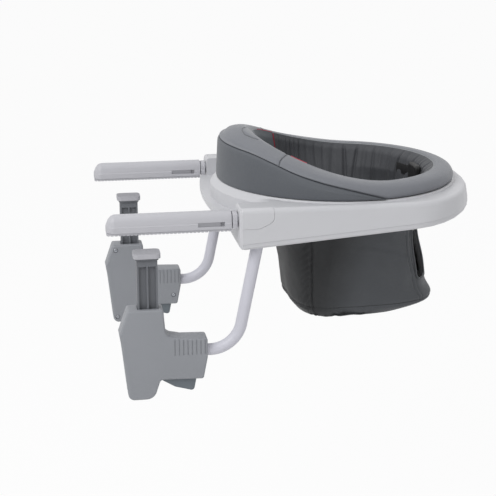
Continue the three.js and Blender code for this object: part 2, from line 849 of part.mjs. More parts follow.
// A lower arm: straight leg, bend towards the table, and straight run into the clamp
function lowerTube(sign) {
  const turnAngle = Math.PI / 2 - lean;
  const steps = 6;
  const centre = {
    x: legX + legLeanShare * runZ - bendRadius * Math.tan(turnAngle / 2),
    z: runZ + bendRadius,
  };
  const bend = Array.from({ length: steps + 1 }, (_, i) => {
    const angle = lean + turnAngle * (i / steps);
    return { x: centre.x + bendRadius * Math.cos(angle), z: centre.z - bendRadius * Math.sin(angle), angle };
  });
  const pipe = (radius, facets, beyond) => {
    const top = onLeg(sign, legTop - gap + beyond);
    const path = [
      { x: top[0], z: top[2], angle: lean },
      ...bend,
      { x: jawX + tubeEnd - beyond, z: runZ, angle: Math.PI / 2 },
    ];
    return skin(path.map(({ x, z, angle }) => Array.from({ length: facets }, (_, k) => {
      const around = (k / facets) * fullTurn;
      const out = radius * Math.cos(around);
      return [x + out * Math.cos(angle), sign * armY + radius * Math.sin(around), z - out * Math.sin(angle)];
    })));
  };
  return pipe(legRadius, legFacets, 0).subtract(pipe(legRadius - legWall, legFacets / 2, overrun));
}

// Clamp housing outline, from shares of its length and height counted from the heel and the foot
const alongClamp = (u) => u * clampLength - clampHeel;
const upClamp = (v) => v * clampHeight - clampBelow;
const clampOutline = () => outline(clampShares.map(({ u, v, r }) =>
  ({ x: alongClamp(u), y: upClamp(v), r: r * clampLength })));

// The jaw's outline in the clamp's frame, narrowed at the toe to fit the housing's foot
function jawOutline(grow, low, high) {
  const half = jawWidth / 2 + grow;
  return outline([
    { x: -half, y: low },
    { x: -half + jawToeWidth + 2 * grow, y: low },
    { x: half - jawShoulder, y: low + jawToeHeight },
    { x: half, y: low + jawToeHeight + jawShoulder },
    { x: half, y: high },
    { x: -half, y: high },
  ]);
}

const worksHalf = clampWidth / 2 - clampWall;
const wellHalf = jawWidth / 2 + runningGap;
const slotHalf = triggerWidth / 2 + runningGap;
const gripFootShare = clampShares.find(({ at }) => at === 'grip foot');
const gripTopShare = clampShares.find(({ at }) => at === 'grip top');
const gripTop = upClamp(gripTopShare.v);
const gripFoot = upClamp(gripFootShare.v);
const gripEnd = alongClamp(gripFootShare.u);

// The space inside the housing for the jaw, the brake and the trigger
function clampRoom() {
  const wellBottom = jawBottom - jawTravel - gap * 2;
  const jawWell = uprightPlate(jawOutline(runningGap, wellBottom, clampHeight),
    -jawThickness / 2 - runningGap, jawThickness / 2 + runningGap);
  const works = block([wellHalf - gap, -worksHalf, gripFoot + clampWall],
    [saddleStart, worksHalf, gripTop - clampWall]);
  const heel = uprightPlate(outline([
    { x: alongClamp(heelShares[0].u), y: upClamp(heelShares[0].v), r: clampWall },
    { x: -wellHalf - clampWall, y: upClamp(heelShares[0].v), r: clampWall },
    { x: -wellHalf - clampWall, y: upClamp(heelShares[1].v), r: clampWall },
    { x: alongClamp(heelShares[1].u), y: upClamp(heelShares[1].v), r: clampWall },
  ]), -worksHalf, worksHalf);
  const triggerSlot = block([wellHalf - gap, -slotHalf, gripFoot - overrun],
    [gripEnd - clampWall, slotHalf, triggerPivotZ + 2 * clampWall]);
  return union(jawWell, works, heel, triggerSlot);
}

// Upright grooves on both faces of the grip
function gripGrooves() {
  const face = clampWidth / 2;
  const start = clampLength - clampHeel - ribEnd;
  return Array.from({ length: ribCount }, (_, i) => start - i * ribPitch).flatMap((x) => [
    block([x - ribGroove, -face - overrun, gripTop - ribHeight], [x, ribDepth - face, gripTop + overrun]),
    block([x - ribGroove, face - ribDepth, gripTop - ribHeight], [x, face + overrun, gripTop + overrun]),
  ]);
}

const place = (body, sign) => body.translate([jawX, sign * armY, runZ]);
const crossBar = (x, z, from, to, radius, facets = 12) => bar([x, from, z], [x, to, z], radius, facets);

function clampBody(sign) {
  const inward = -sign;
  const outer = uprightPlate(clampOutline(), -clampWidth / 2, clampWidth / 2, 2, clampRound);
  const tubeHole = bar([tubeEnd, 0, 0], [clampLength, 0, 0], legRadius + gap, 18);
  const pins = [[triggerPivotX, triggerPivotZ], [camPivotX, camPivotZ]].map(([x, z]) =>
    crossBar(x, z, -pinLength / 2 - gap, pinLength / 2 + gap, pinRadius + gap));
  const screws = clampScrewShares.flatMap(({ u, v }) => [
    crossBar(alongClamp(u), upClamp(v), -inward * (clampWidth / 2 - 2 * clampWall + gap), inward * clampWidth,
      screwShank + gap),
    crossBar(alongClamp(u), upClamp(v), inward * (clampWidth / 2 - screwHeadHeight - gap),
      inward * clampWidth, screwHead + gap),
  ]);
  return without(outer, clampRoom(), tubeHole, ...pins, ...screws, ...gripGrooves());
}

// One half of the housing, on the outer or the inner side of the chair
function clampHalf(sign, face, body) {
  const y = [face * gap / 2, face * clampWidth];
  const keep = block([-clampLength, Math.min(...y), -clampHeight], [clampLength, Math.max(...y), clampHeight]);
  return place(body.intersect(keep), sign);
}

// One of the screws that close the housing, with its head on the chair's inner side
function clampScrew(sign, { u, v }) {
  const x = alongClamp(u);
  const z = upClamp(v);
  const tip = sign * (clampWidth / 2 - 2 * clampWall);
  const top = -sign * (clampWidth / 2 - gap);
  const shank = crossBar(x, z, tip, top, screwShank, 6);
  const head = crossBar(x, z, top + sign * (screwHeadHeight - gap), top, screwHead, 7);
  return place(shank.add(head), sign);
}

// Jaw: a ribbed bar that slides up to the table, under its rubber pad
const padBottom = -tableThickness - padThickness - runZ;

function padOutline(inset) {
  const x = padLength / 2 - inset;
  const y = padWidth / 2 - inset;
  const r = padCorner - inset;
  return outline([{ x: -x, y: -y, r }, { x, y: -y, r }, { x, y, r }, { x: -x, y, r }]);
}

function jaw(sign) {
  const half = jawWidth / 2;
  const deep = jawThickness / 2;
  const body = uprightPlate(jawOutline(0, jawBottom, padBottom - gap), -deep, deep);
  const pocketWidth = (jawWidth - 3 * jawWall) / 2;
  const pockets = [-half + jawWall, jawWall / 2].flatMap((x) => [-1, 1].map((face) => {
    const y = [face * (deep - jawPocketDepth), face * clampWidth];
    const low = jawBottom + jawToeHeight + jawShoulder;
    return block([x, Math.min(...y), low], [x + pocketWidth, Math.max(...y), padBottom - jawHead]);
  }));
  const plate = flatPlate(padOutline(padHollow), padBottom - jawWall, padBottom + padHollow - gap);
  return place(union(without(body, ...pockets), plate), sign);
}

function jawPad(sign) {
  const body = flatPlate(padOutline(0), padBottom, padBottom + padThickness);
  const hollow = flatPlate(padOutline(padHollow - gap), padBottom - overrun, padBottom + padHollow);
  return place(body.subtract(hollow), sign);
}

// Trigger: a wedge under the grip, whose arm swings the brake cam off the jaw
const pitchZ = (triggerPivotZ + camPivotZ) / 2;
const triggerArmX = triggerPivotX + triggerArmSet;
const springHalf = springTurnCount * springPitch / 2 + springWire;

function trigger(sign) {
  const knuckle = 2 * pinRadius;
  const wedge = outline([
    { x: triggerPivotX - knuckle, y: triggerPivotZ - knuckle - pinRadius, r: pinRadius },
    { x: triggerPivotX + triggerLength, y: triggerPivotZ - triggerDepth, r: pinRadius },
    { x: triggerPivotX + triggerLength + knuckle, y: triggerPivotZ - knuckle, r: pinRadius },
    { x: triggerPivotX + triggerLength, y: triggerPivotZ - knuckle, r: 0 },
    { x: triggerPivotX + knuckle, y: triggerPivotZ + pinRadius, r: pinRadius },
    { x: triggerPivotX - knuckle, y: triggerPivotZ + pinRadius, r: pinRadius },
  ]);
  const half = triggerWidth / 2;
  const arm = uprightPlate(outline([
    { x: triggerArmX, y: triggerPivotZ },
    { x: triggerArmX + triggerArmWidth, y: triggerPivotZ },
    { x: triggerArmX + triggerArmWidth, y: pitchZ + pinRadius / 2, r: pinRadius },
    { x: triggerArmX, y: pitchZ + pinRadius / 2, r: pinRadius / 2 },
  ]), -camWidth / 2, camWidth / 2, 2);
  const body = union(uprightPlate(wedge, -half, half, 2, triggerRound), arm);
  const hole = crossBar(triggerPivotX, triggerPivotZ, -clampWidth, clampWidth, pinRadius + gap);
  const springRoom = crossBar(triggerPivotX, triggerPivotZ, -springHalf, springHalf,
    springRadius + springWire);
  return place(without(body, hole, springRoom), sign);
}

function brakeCam(sign) {
  const face = jawWidth / 2 + gap;
  const tailX = triggerArmX - camGap;
  const body = uprightPlate(outline([
    { x: face, y: camPivotZ + camHead, r: pinRadius },
    { x: face, y: camPivotZ, r: pinRadius },
    { x: tailX - 2 * pinRadius, y: pitchZ - pinRadius, r: pinRadius / 2 },
    { x: tailX, y: pitchZ - pinRadius, r: pinRadius / 2 },
    { x: tailX, y: camPivotZ - 2 * pinRadius - pinRadius, r: pinRadius },
    { x: camPivotX + 2 * pinRadius, y: camPivotZ - pinRadius, r: pinRadius },
    { x: camPivotX + 2 * pinRadius, y: camPivotZ + 2 * pinRadius, r: pinRadius },
    { x: face + 2 * pinRadius, y: camPivotZ + camHead, r: pinRadius },
  ]), -camWidth / 2, camWidth / 2, 3);
  const hole = crossBar(camPivotX, camPivotZ, -clampWidth, clampWidth, pinRadius + gap);
  return place(body.subtract(hole), sign);
}

const clampPin = (sign, x, z) => place(crossBar(x, z, -pinLength / 2, pinLength / 2, pinRadius), sign);

// A coil wound round the trigger's pin
function triggerSpring(sign) {
  const perTurn = 6;
  const steps = perTurn * springTurnCount;
  const facets = 4;
  const rings = Array.from({ length: steps + 1 }, (_, i) => {
    const angle = (i / perTurn) * fullTurn;
    const y = (i / steps - 1 / 2) * springTurnCount * springPitch;
    return Array.from({ length: facets }, (_unused, k) => {
      const around = (k / facets) * fullTurn;
      const radius = springRadius - (springWire / 2) * (1 - Math.cos(around));
      return [
        triggerPivotX + radius * Math.cos(angle),
        y + (springWire / 2) * Math.sin(around),
        triggerPivotZ + radius * Math.sin(angle),
      ];
    });
  });
  return place(skin(rings), sign);
}

// Turning seat

const raceBottom = ledgeBottom + ledgeThickness + gap;
const barrelBottom = raceBottom + raceThickness + gap;
const flangeBottom = ringDeckTop + runningGap;

function seatRing() {
  const barrelOuter = boreRadius - runningGap;
  const neck = ledgeInner - runningGap;
  const body = turned([
    [neck - seatRingWall, ledgeBottom - gap],
    [neck, ledgeBottom - gap],
    [neck, barrelBottom],
    [barrelOuter, barrelBottom],
    [barrelOuter, flangeBottom],
    [flangeOuter, flangeBottom],
    [flangeOuter, flangeBottom + flangeThickness],
    [flangeInner, flangeBottom + flangeThickness],
    [flangeInner, flangeBottom],
    [barrelOuter - seatRingWall, flangeBottom],
    [barrelOuter - seatRingWall, barrelBottom + seatRingWall],
    [neck - seatRingWall, barrelBottom + seatRingWall],
  ], 40);
  const notches = Array.from({ length: notchCount }, (_, i) => {
    const notch = new THREE.BoxGeometry(lockTravel + overrun, notchWidth, notchHeight);
    notch.translate(barrelOuter - overrun / 2, 0, lockBottom + lockHeight / 2);
    notch.rotateZ((i / notchCount) * fullTurn);
    notch.translate(seatX, 0, 0);
    return solid(notch);
  });
  return without(body, ...notches);
}

const turnRace = () =>
  ring(ledgeInner + 2 * gap, boreRadius - 2 * gap, raceBottom, raceBottom + raceThickness, 40);
const keeperRing = () => ring(ledgeInner - gap - 2 * seatRingWall, boreRadius - 3 * gap,
  ledgeBottom - gap * 2 - keeperThickness, ledgeBottom - 2 * gap, 40);

// Bumper: heights round the seat, as functions of the angle from the back

const openingAt = (angle) => openingRadius - openingShift * Math.cos(angle);

function crestAt(angle) {
  const share = Math.min(Math.abs(angle) / (bumperFallAngle * degrees), 1);
  return bumperLow + bumperBack * (1 + Math.cos(share * Math.PI)) / 2;
}

// Height of the seam between the side band and the top roll; past the band it is the foot
function seamAt(angle) {
  const step = Math.abs(angle) / (seamStepAngle * degrees);
  const ahead = seamShares.findIndex((_, i) => i >= step - weld);
  if (ahead < 0) {
    return bumperBottom;
  }
  const behind = Math.floor(step + weld);
  const share = THREE.MathUtils.lerp(seamShares[behind], seamShares[ahead], step - behind);
  return bumperBottom + seamHeight * share;
}

// How far the roll's inner side slopes: steepest in the middle of the back
const backShare = (angle) => Math.max(Math.cos(angle), 0) ** backSlopePower;
const lipZ = (angle) => crestAt(angle) - lipFall - backSlope * backShare(angle);
const padFoot = flangeBottom + flangeThickness + gap;
const flangeRoom = (flangeOuter + gap) / Math.cos((stationAngle / 2) * degrees);

// A point round the seat, at an angle from the back
const around = (angle, radius, z) =>
  [seatX - radius * Math.cos(angle), radius * Math.sin(angle), z];
const angles = (count) => Array.from({ length: count }, (_, i) => (i / count) * fullTurn - Math.PI);
const halfStations = Math.floor(180 / stationAngle);
const stationsTo = (count) =>
  Array.from({ length: 2 * count + 1 }, (_, i) => (i - count) * stationAngle * degrees);
const bumperStations = stationsTo(halfStations);

// The top roll, from the seam over the crest to the inner edge, hollow below for the frame
function bumperRim() {
  return skin(bumperStations.map((angle) => {
    const crest = crestAt(angle);
    const roof = crest - frameCover;
    const foot = seamAt(angle);
    const shelf = Math.max(foot, padFoot);
    const inner = openingAt(angle);
    const reach = lipReachOut + backSlope * backShare(angle);
    const lip = lipZ(angle);
    const outside = rollShares.map(({ across, up }) => [
      THREE.MathUtils.lerp(bumperRadius, inner + reach, across),
      THREE.MathUtils.lerp(foot, crest, up),
    ]);
    return [
      ...outside,
      [inner + reach * lipRoundShares.across, THREE.MathUtils.lerp(crest, lip, lipRoundShares.down)],
      [inner, lip],
      [inner + lipTuck, lip - lipTuckDrop],
      [inner + lipFootStep, padFoot],
      [frameRadius - frameWall - gap, padFoot],
      [frameRadius - frameWall - gap, roof],
      [frameRadius + gap, roof],
      [frameRadius + gap, shelf],
      [flangeRoom, shelf],
      [flangeRoom, foot],
    ].map(([radius, z]) => around(angle, radius, z));
  }), true);
}

// The darker band round the outside of the back, drawn out to a tip along each side
function sideBand() {
  const limit = seamStepAngle * (seamShares.length - 1);
  const body = stationsTo(Math.round(limit / stationAngle));
  const tips = [-bandTipAngle * degrees, bandTipAngle * degrees];
  const outer = [tips[0], ...body, tips[1]].map((angle) => {
    const top = tips.includes(angle) ? bumperBottom + 2 * gap : seamAt(angle) - seamGap;
    const tall = top - bumperBottom;
    return [
      [bumperRadius - bumperBulge, bumperBottom],
      [bumperRadius, bumperBottom + tall * bandRiseShares[0]],
      [bumperRadius + bumperBulge, bumperBottom + tall * bandRiseShares[1]],
      [bumperRadius - bumperBulge, top],
      [flangeRoom, top],
      [flangeRoom, bumperBottom],
    ].map(([radius, z]) => around(angle, radius, z));
  });
  const inner = body.map((angle) => [
    [bumperRadius - bumperBulge, padFoot],
    [bumperRadius - bumperBulge, seamAt(angle) - seamGap],
    [frameRadius + 2 * gap, seamAt(angle) - seamGap],
    [frameRadius + 2 * gap, padFoot],
  ].map(([radius, z]) => around(angle, radius, z)));
  return skin(outer).add(skin(inner));
}

// The stiff upstand inside the bumper
function bumperFrame() {
  return skin(bumperStations.map((angle) => {
    const top = crestAt(angle) - frameCover - gap;
    return [
      [frameRadius, padFoot],
      [frameRadius, top],
      [frameRadius - frameWall, top],
      [frameRadius - frameWall, padFoot],
    ].map(([radius, z]) => around(angle, radius, z));
  }), true);
}

// Pleated lining: soft upright folds all round, hung from the roll's inner edge
function seatLining() {
  const perFold = 4;
  const count = liningFoldCount * perFold;
  const layer = (inset) => liningLevels.map((level) => angles(count).map((angle, i) => {
    const { z, reach } = level(angle);
    const fold = liningFold * (Math.cos((i / perFold) * fullTurn) - 1);
    return around(angle, reach + fold - inset, z);
  }));
  return skin([...layer(0), ...layer(liningCloth).reverse()], true);
}
const liningLevels = [
  (angle) => ({ z: liningBottom, reach: bagMouthAt(angle) - gap }),
  (angle) => ({ z: padFoot + gap, reach: Math.min(liningRadius, openingAt(angle) - gap) }),
  (angle) => ({ z: lipZ(angle) - liningShort, reach: openingAt(angle) - gap }),
];

// The bag's mouth, an oval round the seat's axis
function bagMouthAt(angle) {
  const mouth = bagShares[0];
  const along = Math.cos(angle) > 0 ? bagBack * mouth.back : bagFront * mouth.front;
  return 1 / Math.hypot(Math.cos(angle) / along, Math.sin(angle) / (bagHalf * mouth.half));
}

// Seat bag: squarish rings that draw in, lean forward and round off at the back
function bagRing({ depth, front, back, half }, inset, lift = 0) {
  const power = depth > 0 ? bagSquareShare : 1;
  const z = bagTop - depth * bagDepth + lift;
  return angles(26).map((angle) => {
    const along = Math.cos(angle);
    const across = Math.sin(angle);
    const reach = along > 0 ? bagFront * front : bagBack * back;
    return [
      seatX + Math.sign(along) * (reach - inset) * Math.abs(along) ** power,
      Math.sign(across) * (bagHalf * half - inset) * Math.abs(across) ** power,
      z,
    ];
  });
}

function seatBag() {
  const outside = bagShares.map((level) => bagRing(level, 0));
  const inside = bagShares.map((level, i) =>
    bagRing(level, bagCloth, i === bagShares.length - 1 ? bagCloth : 0));
  const cup = skin([...inside.reverse(), ...outside]);
  const low = legHoleTop - legHoleDrop;
  const start = seatX + legHoleReach;
  const holes = sides.map(({ sign }) => {
    const y = [sign * legHoleInner, sign * bagHalf];
    return uprightPlate(outline([
      { x: start, y: legHoleTop, r: legHoleCorner },
      { x: start + legHoleLean, y: low, r: legHoleCorner },
      { x: start + bagFront, y: low },
      { x: start + bagFront, y: legHoleTop },
    ]), Math.min(...y), Math.max(...y));
  });
  return without(cup, ...holes);
}

// Stiff board that keeps the bag's floor flat
function seatBoard() {
  const floor = bagTop - bagDepth + bagCloth + gap;
  const front = seatX + bagFront * bagShares.at(-1).front - bagCloth - boardCorner;
  const back = front - boardLength;
  const half = boardWidth / 2;
  const r = boardCorner;
  return flatPlate(outline([
    { x: back, y: -half, r }, { x: front, y: -half, r }, { x: front, y: half, r }, { x: back, y: half, r },
  ]), floor, floor + boardThickness);
}

// Waist webbing, laid along the lining to the buckle at the front
const strapReachAt = (angle) => bagMouthAt(angle) - 2 * liningFold - liningCloth - 4 * gap;
const strapRadius = strapReachAt(Math.PI);
const strapBottom = liningBottom + strapLift;

function waistStrap(sign) {
  const start = Math.asin((buckleLength / 2 + gap) / strapRadius);
  const steps = 6;
  const end = strapReachAngle * degrees;
  return skin(Array.from({ length: steps + 1 }, (_, i) => {
    const angle = Math.PI - start - (end - start) * (i / steps);
    const outer = strapReachAt(angle);
    return [
      [outer - strapThickness, strapBottom],
      [outer, strapBottom],
      [outer, strapBottom + strapWidth],
      [outer - strapThickness, strapBottom + strapWidth],
    ].map(([radius, z]) => around(sign * angle, radius, z));
  }));
}

const buckleMiddle = strapBottom + strapWidth / 2;

function buckle() {
  const half = buckleLength / 2;
  const low = buckleMiddle - buckleHeight / 2;
  const high = buckleMiddle + buckleHeight / 2;
  const r = buckleWaist;
  const shape = outline([
    { x: -half, y: low, r },
    { x: half, y: low, r },
    { x: half, y: high, r },
    { x: -half, y: high, r },
  ]);
  const face = new THREE.Shape(shape.getPoints(3));
  const geometry = plate(face, 0, buckleThickness, 3, buckleRound);
  geometry.rotateX(Math.PI / 2);
  geometry.rotateZ(-Math.PI / 2);
  geometry.translate(seatX + Math.sqrt(strapRadius ** 2 - half ** 2), 0, 0);
  return solid(geometry);
}

// Crotch webbing, from the bag's front wall up to the buckle
function crotchStrap() {
  const top = [seatX + strapRadius - strapThickness, buckleMiddle - buckleHeight / 2 - gap];
  const wallPoints = bagShares.filter(({ depth }) => depth > 0 && depth < crotchDepthShare)
    .map(({ depth, front }) => [seatX + bagFront * front - bagCloth - 4 * gap, bagTop - depth * bagDepth]);
  const outer = [top, ...wallPoints];
  const shape = new THREE.Shape([
    ...outer.map(([x, z]) => new THREE.Vector2(x, z)),
    ...outer.map(([x, z]) => new THREE.Vector2(x - strapThickness, z)).reverse(),
  ]);
  return uprightPlate(shape, -strapWidth / 2, strapWidth / 2);
}

// The chair: the base with its upper arms stays still, and the rest hangs or turns on it

add('base_upper_shell', upperShell(), 'shell');
add('base_lower_tray', lowerTray(), 'shell');
add('turn_race', turnRace(), 'inner');
add('turn_lock', turnLock(), 'trigger');

const seat = new THREE.Group();
chair.add(seat);
add('seat_ring', seatRing(), 'inner', seat);
add('seat_keeper_ring', keeperRing(), 'inner', seat);
add('bumper_frame', bumperFrame(), 'inner', seat);
add('bumper_rim', bumperRim(), 'rim', seat);
add('bumper_side_band', sideBand(), 'band', seat);
add('seat_lining', seatLining(), 'cloth', seat);
add('seat_bag', seatBag(), 'cloth', seat);
add('seat_board', seatBoard(), 'inner', seat);
add('crotch_strap', crotchStrap(), 'webbing', seat);
add('harness_buckle', buckle(), 'webbing', seat);

for (const { tag, sign } of sides) {
  add(`waist_strap_${tag}`, waistStrap(sign), 'webbing', seat);
  add(`arm_sleeve_${tag}`, armSleeve(sign), 'arm');
  add(`arm_grip_sole_${tag}`, gripSole(sign), 'rubber');
  add(`arm_collar_${tag}`, armCollar(sign), 'arm');
  add(`upper_arm_tube_${tag}`, armTube(sign), 'steel');
  add(`socket_block_${tag}`, socketBlock(sign), 'inner');
  add(`socket_cover_${tag}`, socketCover(sign), 'shell');
  add(`leg_bush_${tag}`, legBush(sign), 'inner');

  const lowerArm = new THREE.Group();
  chair.add(lowerArm);
  const body = clampBody(sign);
  add(`lower_arm_tube_${tag}`, lowerTube(sign), 'tube', lowerArm);
  add(`leg_cap_${tag}`, legCap(sign), 'steel', lowerArm);
  add(`clamp_outer_half_${tag}`, clampHalf(sign, sign, body), 'clamp', lowerArm);
  add(`clamp_inner_half_${tag}`, clampHalf(sign, -sign, body), 'clamp', lowerArm);
  clampScrewShares.forEach((share, i) => {
    add(`clamp_screw_${tag}_${i + 1}`, clampScrew(sign, share), 'steel', lowerArm);
  });
  add(`trigger_pin_${tag}`, clampPin(sign, triggerPivotX, triggerPivotZ), 'steel', lowerArm);
  add(`cam_pin_${tag}`, clampPin(sign, camPivotX, camPivotZ), 'steel', lowerArm);
  add(`trigger_spring_${tag}`, triggerSpring(sign), 'steel', lowerArm);
  add(`clamp_jaw_${tag}`, jaw(sign), 'inner', lowerArm);
  add(`jaw_pad_${tag}`, jawPad(sign), 'rubber', lowerArm);
  add(`clamp_trigger_${tag}`, trigger(sign), 'trigger', lowerArm);
  add(`brake_cam_${tag}`, brakeCam(sign), 'trigger', lowerArm);
}

export default chair;
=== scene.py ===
# %% [markdown]
# # A hook-on table chair
# This lesson dresses a clip-on baby seat: a moulded grey base with two arms that lie on a
# table, two clamps that grip it from below, and a round cloth seat that turns in the base.
# The CAD parts give every place and size, and each cell adds one piece or one finish.

# %% Load the fixed frame
import math

import bmesh
import bpy
import numpy as np
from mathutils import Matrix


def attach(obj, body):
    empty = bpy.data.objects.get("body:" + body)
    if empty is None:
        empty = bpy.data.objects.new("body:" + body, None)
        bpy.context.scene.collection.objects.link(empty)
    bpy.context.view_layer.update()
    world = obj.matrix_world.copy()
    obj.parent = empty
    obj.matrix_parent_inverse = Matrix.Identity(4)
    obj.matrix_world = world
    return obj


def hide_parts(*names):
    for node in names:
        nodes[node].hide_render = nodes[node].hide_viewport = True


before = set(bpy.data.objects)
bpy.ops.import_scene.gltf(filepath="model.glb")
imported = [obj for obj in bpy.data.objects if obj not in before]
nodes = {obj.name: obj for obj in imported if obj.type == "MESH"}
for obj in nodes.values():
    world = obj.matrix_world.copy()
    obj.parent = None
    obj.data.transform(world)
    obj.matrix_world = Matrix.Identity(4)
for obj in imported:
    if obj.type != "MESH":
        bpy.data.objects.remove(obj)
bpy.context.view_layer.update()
mm = 0.001

# %% [markdown]
# ## The camera
# The photograph was taken from the left, a little above the table's top. The height, the
# turn and the focal length were worked out from the two parallel arms and the round seat.

# %% Camera


def put(name, data):
    """An object with this mesh, lamp or camera, put in the scene."""
    thing = bpy.data.objects.new(name, data)
    bpy.context.collection.objects.link(thing)
    return thing


photo_side = 496
focal_pixels = 1219.94
sensor = 36.0
looks_down, looks_right = 16.283, 9.627
camera_data = bpy.data.cameras.new("camera")
camera_data.sensor_width = sensor
camera_data.lens = focal_pixels / photo_side * sensor
camera = put("camera", camera_data)
camera.location = (-0.2842, -1.9813, 0.5000)
camera.rotation_euler = (math.radians(90 - looks_down), 0, math.radians(-looks_right))
bpy.context.scene.camera = camera
print("lens", round(camera_data.lens, 2), "mm")

# %% [markdown]
# ## Light and background
# A studio uses large soft lamps, so that no shadow has a hard edge. The world gives most of
# the light, one big lamp from the upper left models the forms, and a weaker one opens the
# shadows. The floor lies at floor level, a table's height below the arms. What the camera
# sees behind the object is white, by the Light Path node, and not by more light.

# %% World, lamps and floor
scene = bpy.context.scene
scene.view_settings.view_transform = "Standard"
table_height = 0.74
floor_reach = 14
glow_share = 0.93
white = (1.0, 1.0, 1.0, 1.0)
pale = (0.84, 0.84, 0.84, 1.0)
faint_blue = (0.99, 0.99, 1.0, 1.0)


def add_node(tree, kind, inputs, **settings):
    """A shader node with its settings. Each input takes a value or another node's socket."""
    node = tree.nodes.new(kind)
    for label, value in settings.items():
        setattr(node, label, value)
    for place, value in inputs.items():
        if hasattr(value, "links"):
            tree.links.new(value, node.inputs[place])
        else:
            node.inputs[place].default_value = value
    return node


def maths(tree, operation, *values):
    """A Math node on sockets or numbers."""
    return add_node(tree, "ShaderNodeMath", dict(enumerate(values)), operation=operation).outputs[0]


def seen_or_mirrored(tree):
    """One where a camera, mirror or glass ray arrives: the largest of three ray tests."""
    rays = tree.nodes.new("ShaderNodeLightPath").outputs
    first = maths(tree, "MAXIMUM", rays["Is Camera Ray"], rays["Is Glossy Ray"])
    return maths(tree, "MAXIMUM", first, rays["Is Transmission Ray"])


def mixed_shader(tree, share, first, second):
    """The output of a shader that goes from the first to the second as the share goes from 0 to 1."""
    inputs = {0: share, 1: first.outputs[0], 2: second.outputs[0]}
    return add_node(tree, "ShaderNodeMixShader", inputs).outputs[0]


world = bpy.data.worlds.new("studio")
scene.world = world
world.use_nodes = True
sky = world.node_tree
sky.nodes.clear()
ambient = add_node(sky, "ShaderNodeBackground", {"Color": faint_blue, "Strength": 0.58})
backdrop = add_node(sky, "ShaderNodeBackground", {"Color": white})
add_node(sky, "ShaderNodeOutputWorld", {0: mixed_shader(sky, seen_or_mirrored(sky), ambient, backdrop)})


def soft_lamp(name, place, width, power):
    """A square lamp at a place, turned so that its -Z axis points at the middle of the chair."""
    data = bpy.data.lights.new(name, "AREA")
    data.size = width
    data.energy = power
    lamp = put(name, data)
    lamp.location = place
    x, y, z = np.array(place) - (0.1, 0, 0)
    lamp.rotation_euler = (math.atan2(np.hypot(x, y), z), 0, math.atan2(y, x) + math.pi / 2)


soft_lamp("key", (-1.7, -1.7, 1.8), 1.6, 38)
soft_lamp("fill", (1.9, -1.7, 0.5), 1.8, 3)
soft_lamp("top", (-0.5, 0.3, 2.3), 2.0, 9)

floor_mesh = bpy.data.meshes.new("floor")
square = ((-1, -1), (1, -1), (1, 1), (-1, 1))
floor_mesh.from_pydata([(x * floor_reach, y * floor_reach, -table_height) for x, y in square], [], [range(4)])
put("floor", floor_mesh)
floor_paint = bpy.data.materials.new("floor_paint")
floor_paint.use_nodes = True
ground = floor_paint.node_tree
ground.nodes.clear()
matt = add_node(ground, "ShaderNodeBsdfDiffuse", {"Color": pale})
glow = add_node(ground, "ShaderNodeEmission", {"Color": white})
level = maths(ground, "MULTIPLY", seen_or_mirrored(ground), glow_share)
add_node(ground, "ShaderNodeOutputMaterial", {0: mixed_shader(ground, level, matt, glow)})
floor_mesh.materials.append(floor_paint)
print("floor at", -table_height, "m")

# %% [markdown]
# ## Shared surface effects
# Moulded plastic has a fine sparked grain, cloth has a weave and soft creases, and every
# part that hands touch is a little shinier in patches. Each effect is a node group with its
# own inputs, so one grain serves the base, the arms and the clamps at different sizes.

# %% Node groups


def effect(name, label, value, *outputs):
    """An empty shader node group with a vector, one named number and the named outputs. With the
    group come its vector, its number and the place for its results."""
    tree = bpy.data.node_groups.new(name, "ShaderNodeTree")
    tree.interface.new_socket("Vector", in_out="INPUT", socket_type="NodeSocketVector")
    tree.interface.new_socket(label, in_out="INPUT", socket_type="NodeSocketFloat").default_value = value
    for output in outputs:
        tree.interface.new_socket(output, in_out="OUTPUT", socket_type="NodeSocketFloat")
    given = tree.nodes.new("NodeGroupInput").outputs
    return tree, given["Vector"], given[label], tree.nodes.new("NodeGroupOutput").inputs


def noise(tree, vector, scale, detail, roughness=0.55, distortion=0.0):
    """A noise texture's value at a vector."""
    inputs = {"Vector": vector, "Scale": scale, "Detail": detail, "Roughness": roughness,
              "Distortion": distortion}
    return add_node(tree, "ShaderNodeTexNoise", inputs).outputs["Fac"]


grain, vector, scale, result = effect("moulded_grain", "Scale", 900.0, "Height", "Shade")
grain.links.new(noise(grain, vector, scale, 2.0), result["Height"])
grain.links.new(noise(grain, vector, 14.0, 2.0), result["Shade"])

wear, vector, scale, result = effect("handling", "Scale", 30.0, "Mask")
patches = noise(wear, vector, scale, 4.0, 0.7, 0.4)
mask = add_node(wear, "ShaderNodeMapRange", {"Value": patches, "From Min": 0.45, "From Max": 0.75})
wear.links.new(mask.outputs[0], result["Mask"])

weave, vector, threads, result = effect("plain_weave", "Threads", 1400.0, "Height", "Shade")
parts = add_node(weave, "ShaderNodeSeparateXYZ", {0: vector}).outputs
waves = []
for axis in ("X", "Y"):
    turns = maths(weave, "MULTIPLY", parts[axis], threads)
    waves.append(maths(weave, "SINE", maths(weave, "MULTIPLY", turns, math.pi)))
crossing = maths(weave, "MULTIPLY", *waves)
weave.links.new(maths(weave, "MULTIPLY_ADD", crossing, 0.5, 0.5), result["Height"])
weave.links.new(noise(weave, vector, 260.0, 3.0), result["Shade"])

creases, vector, scale, result = effect("cloth_creases", "Scale", 22.0, "Height")
soft = noise(creases, vector, scale, 3.0, 0.5, 1.2)
creases.links.new(maths(creases, "ABSOLUTE", maths(creases, "SUBTRACT", soft, 0.5)), result["Height"])
print("node groups:", [tree.name for tree in (grain, wear, weave, creases)])

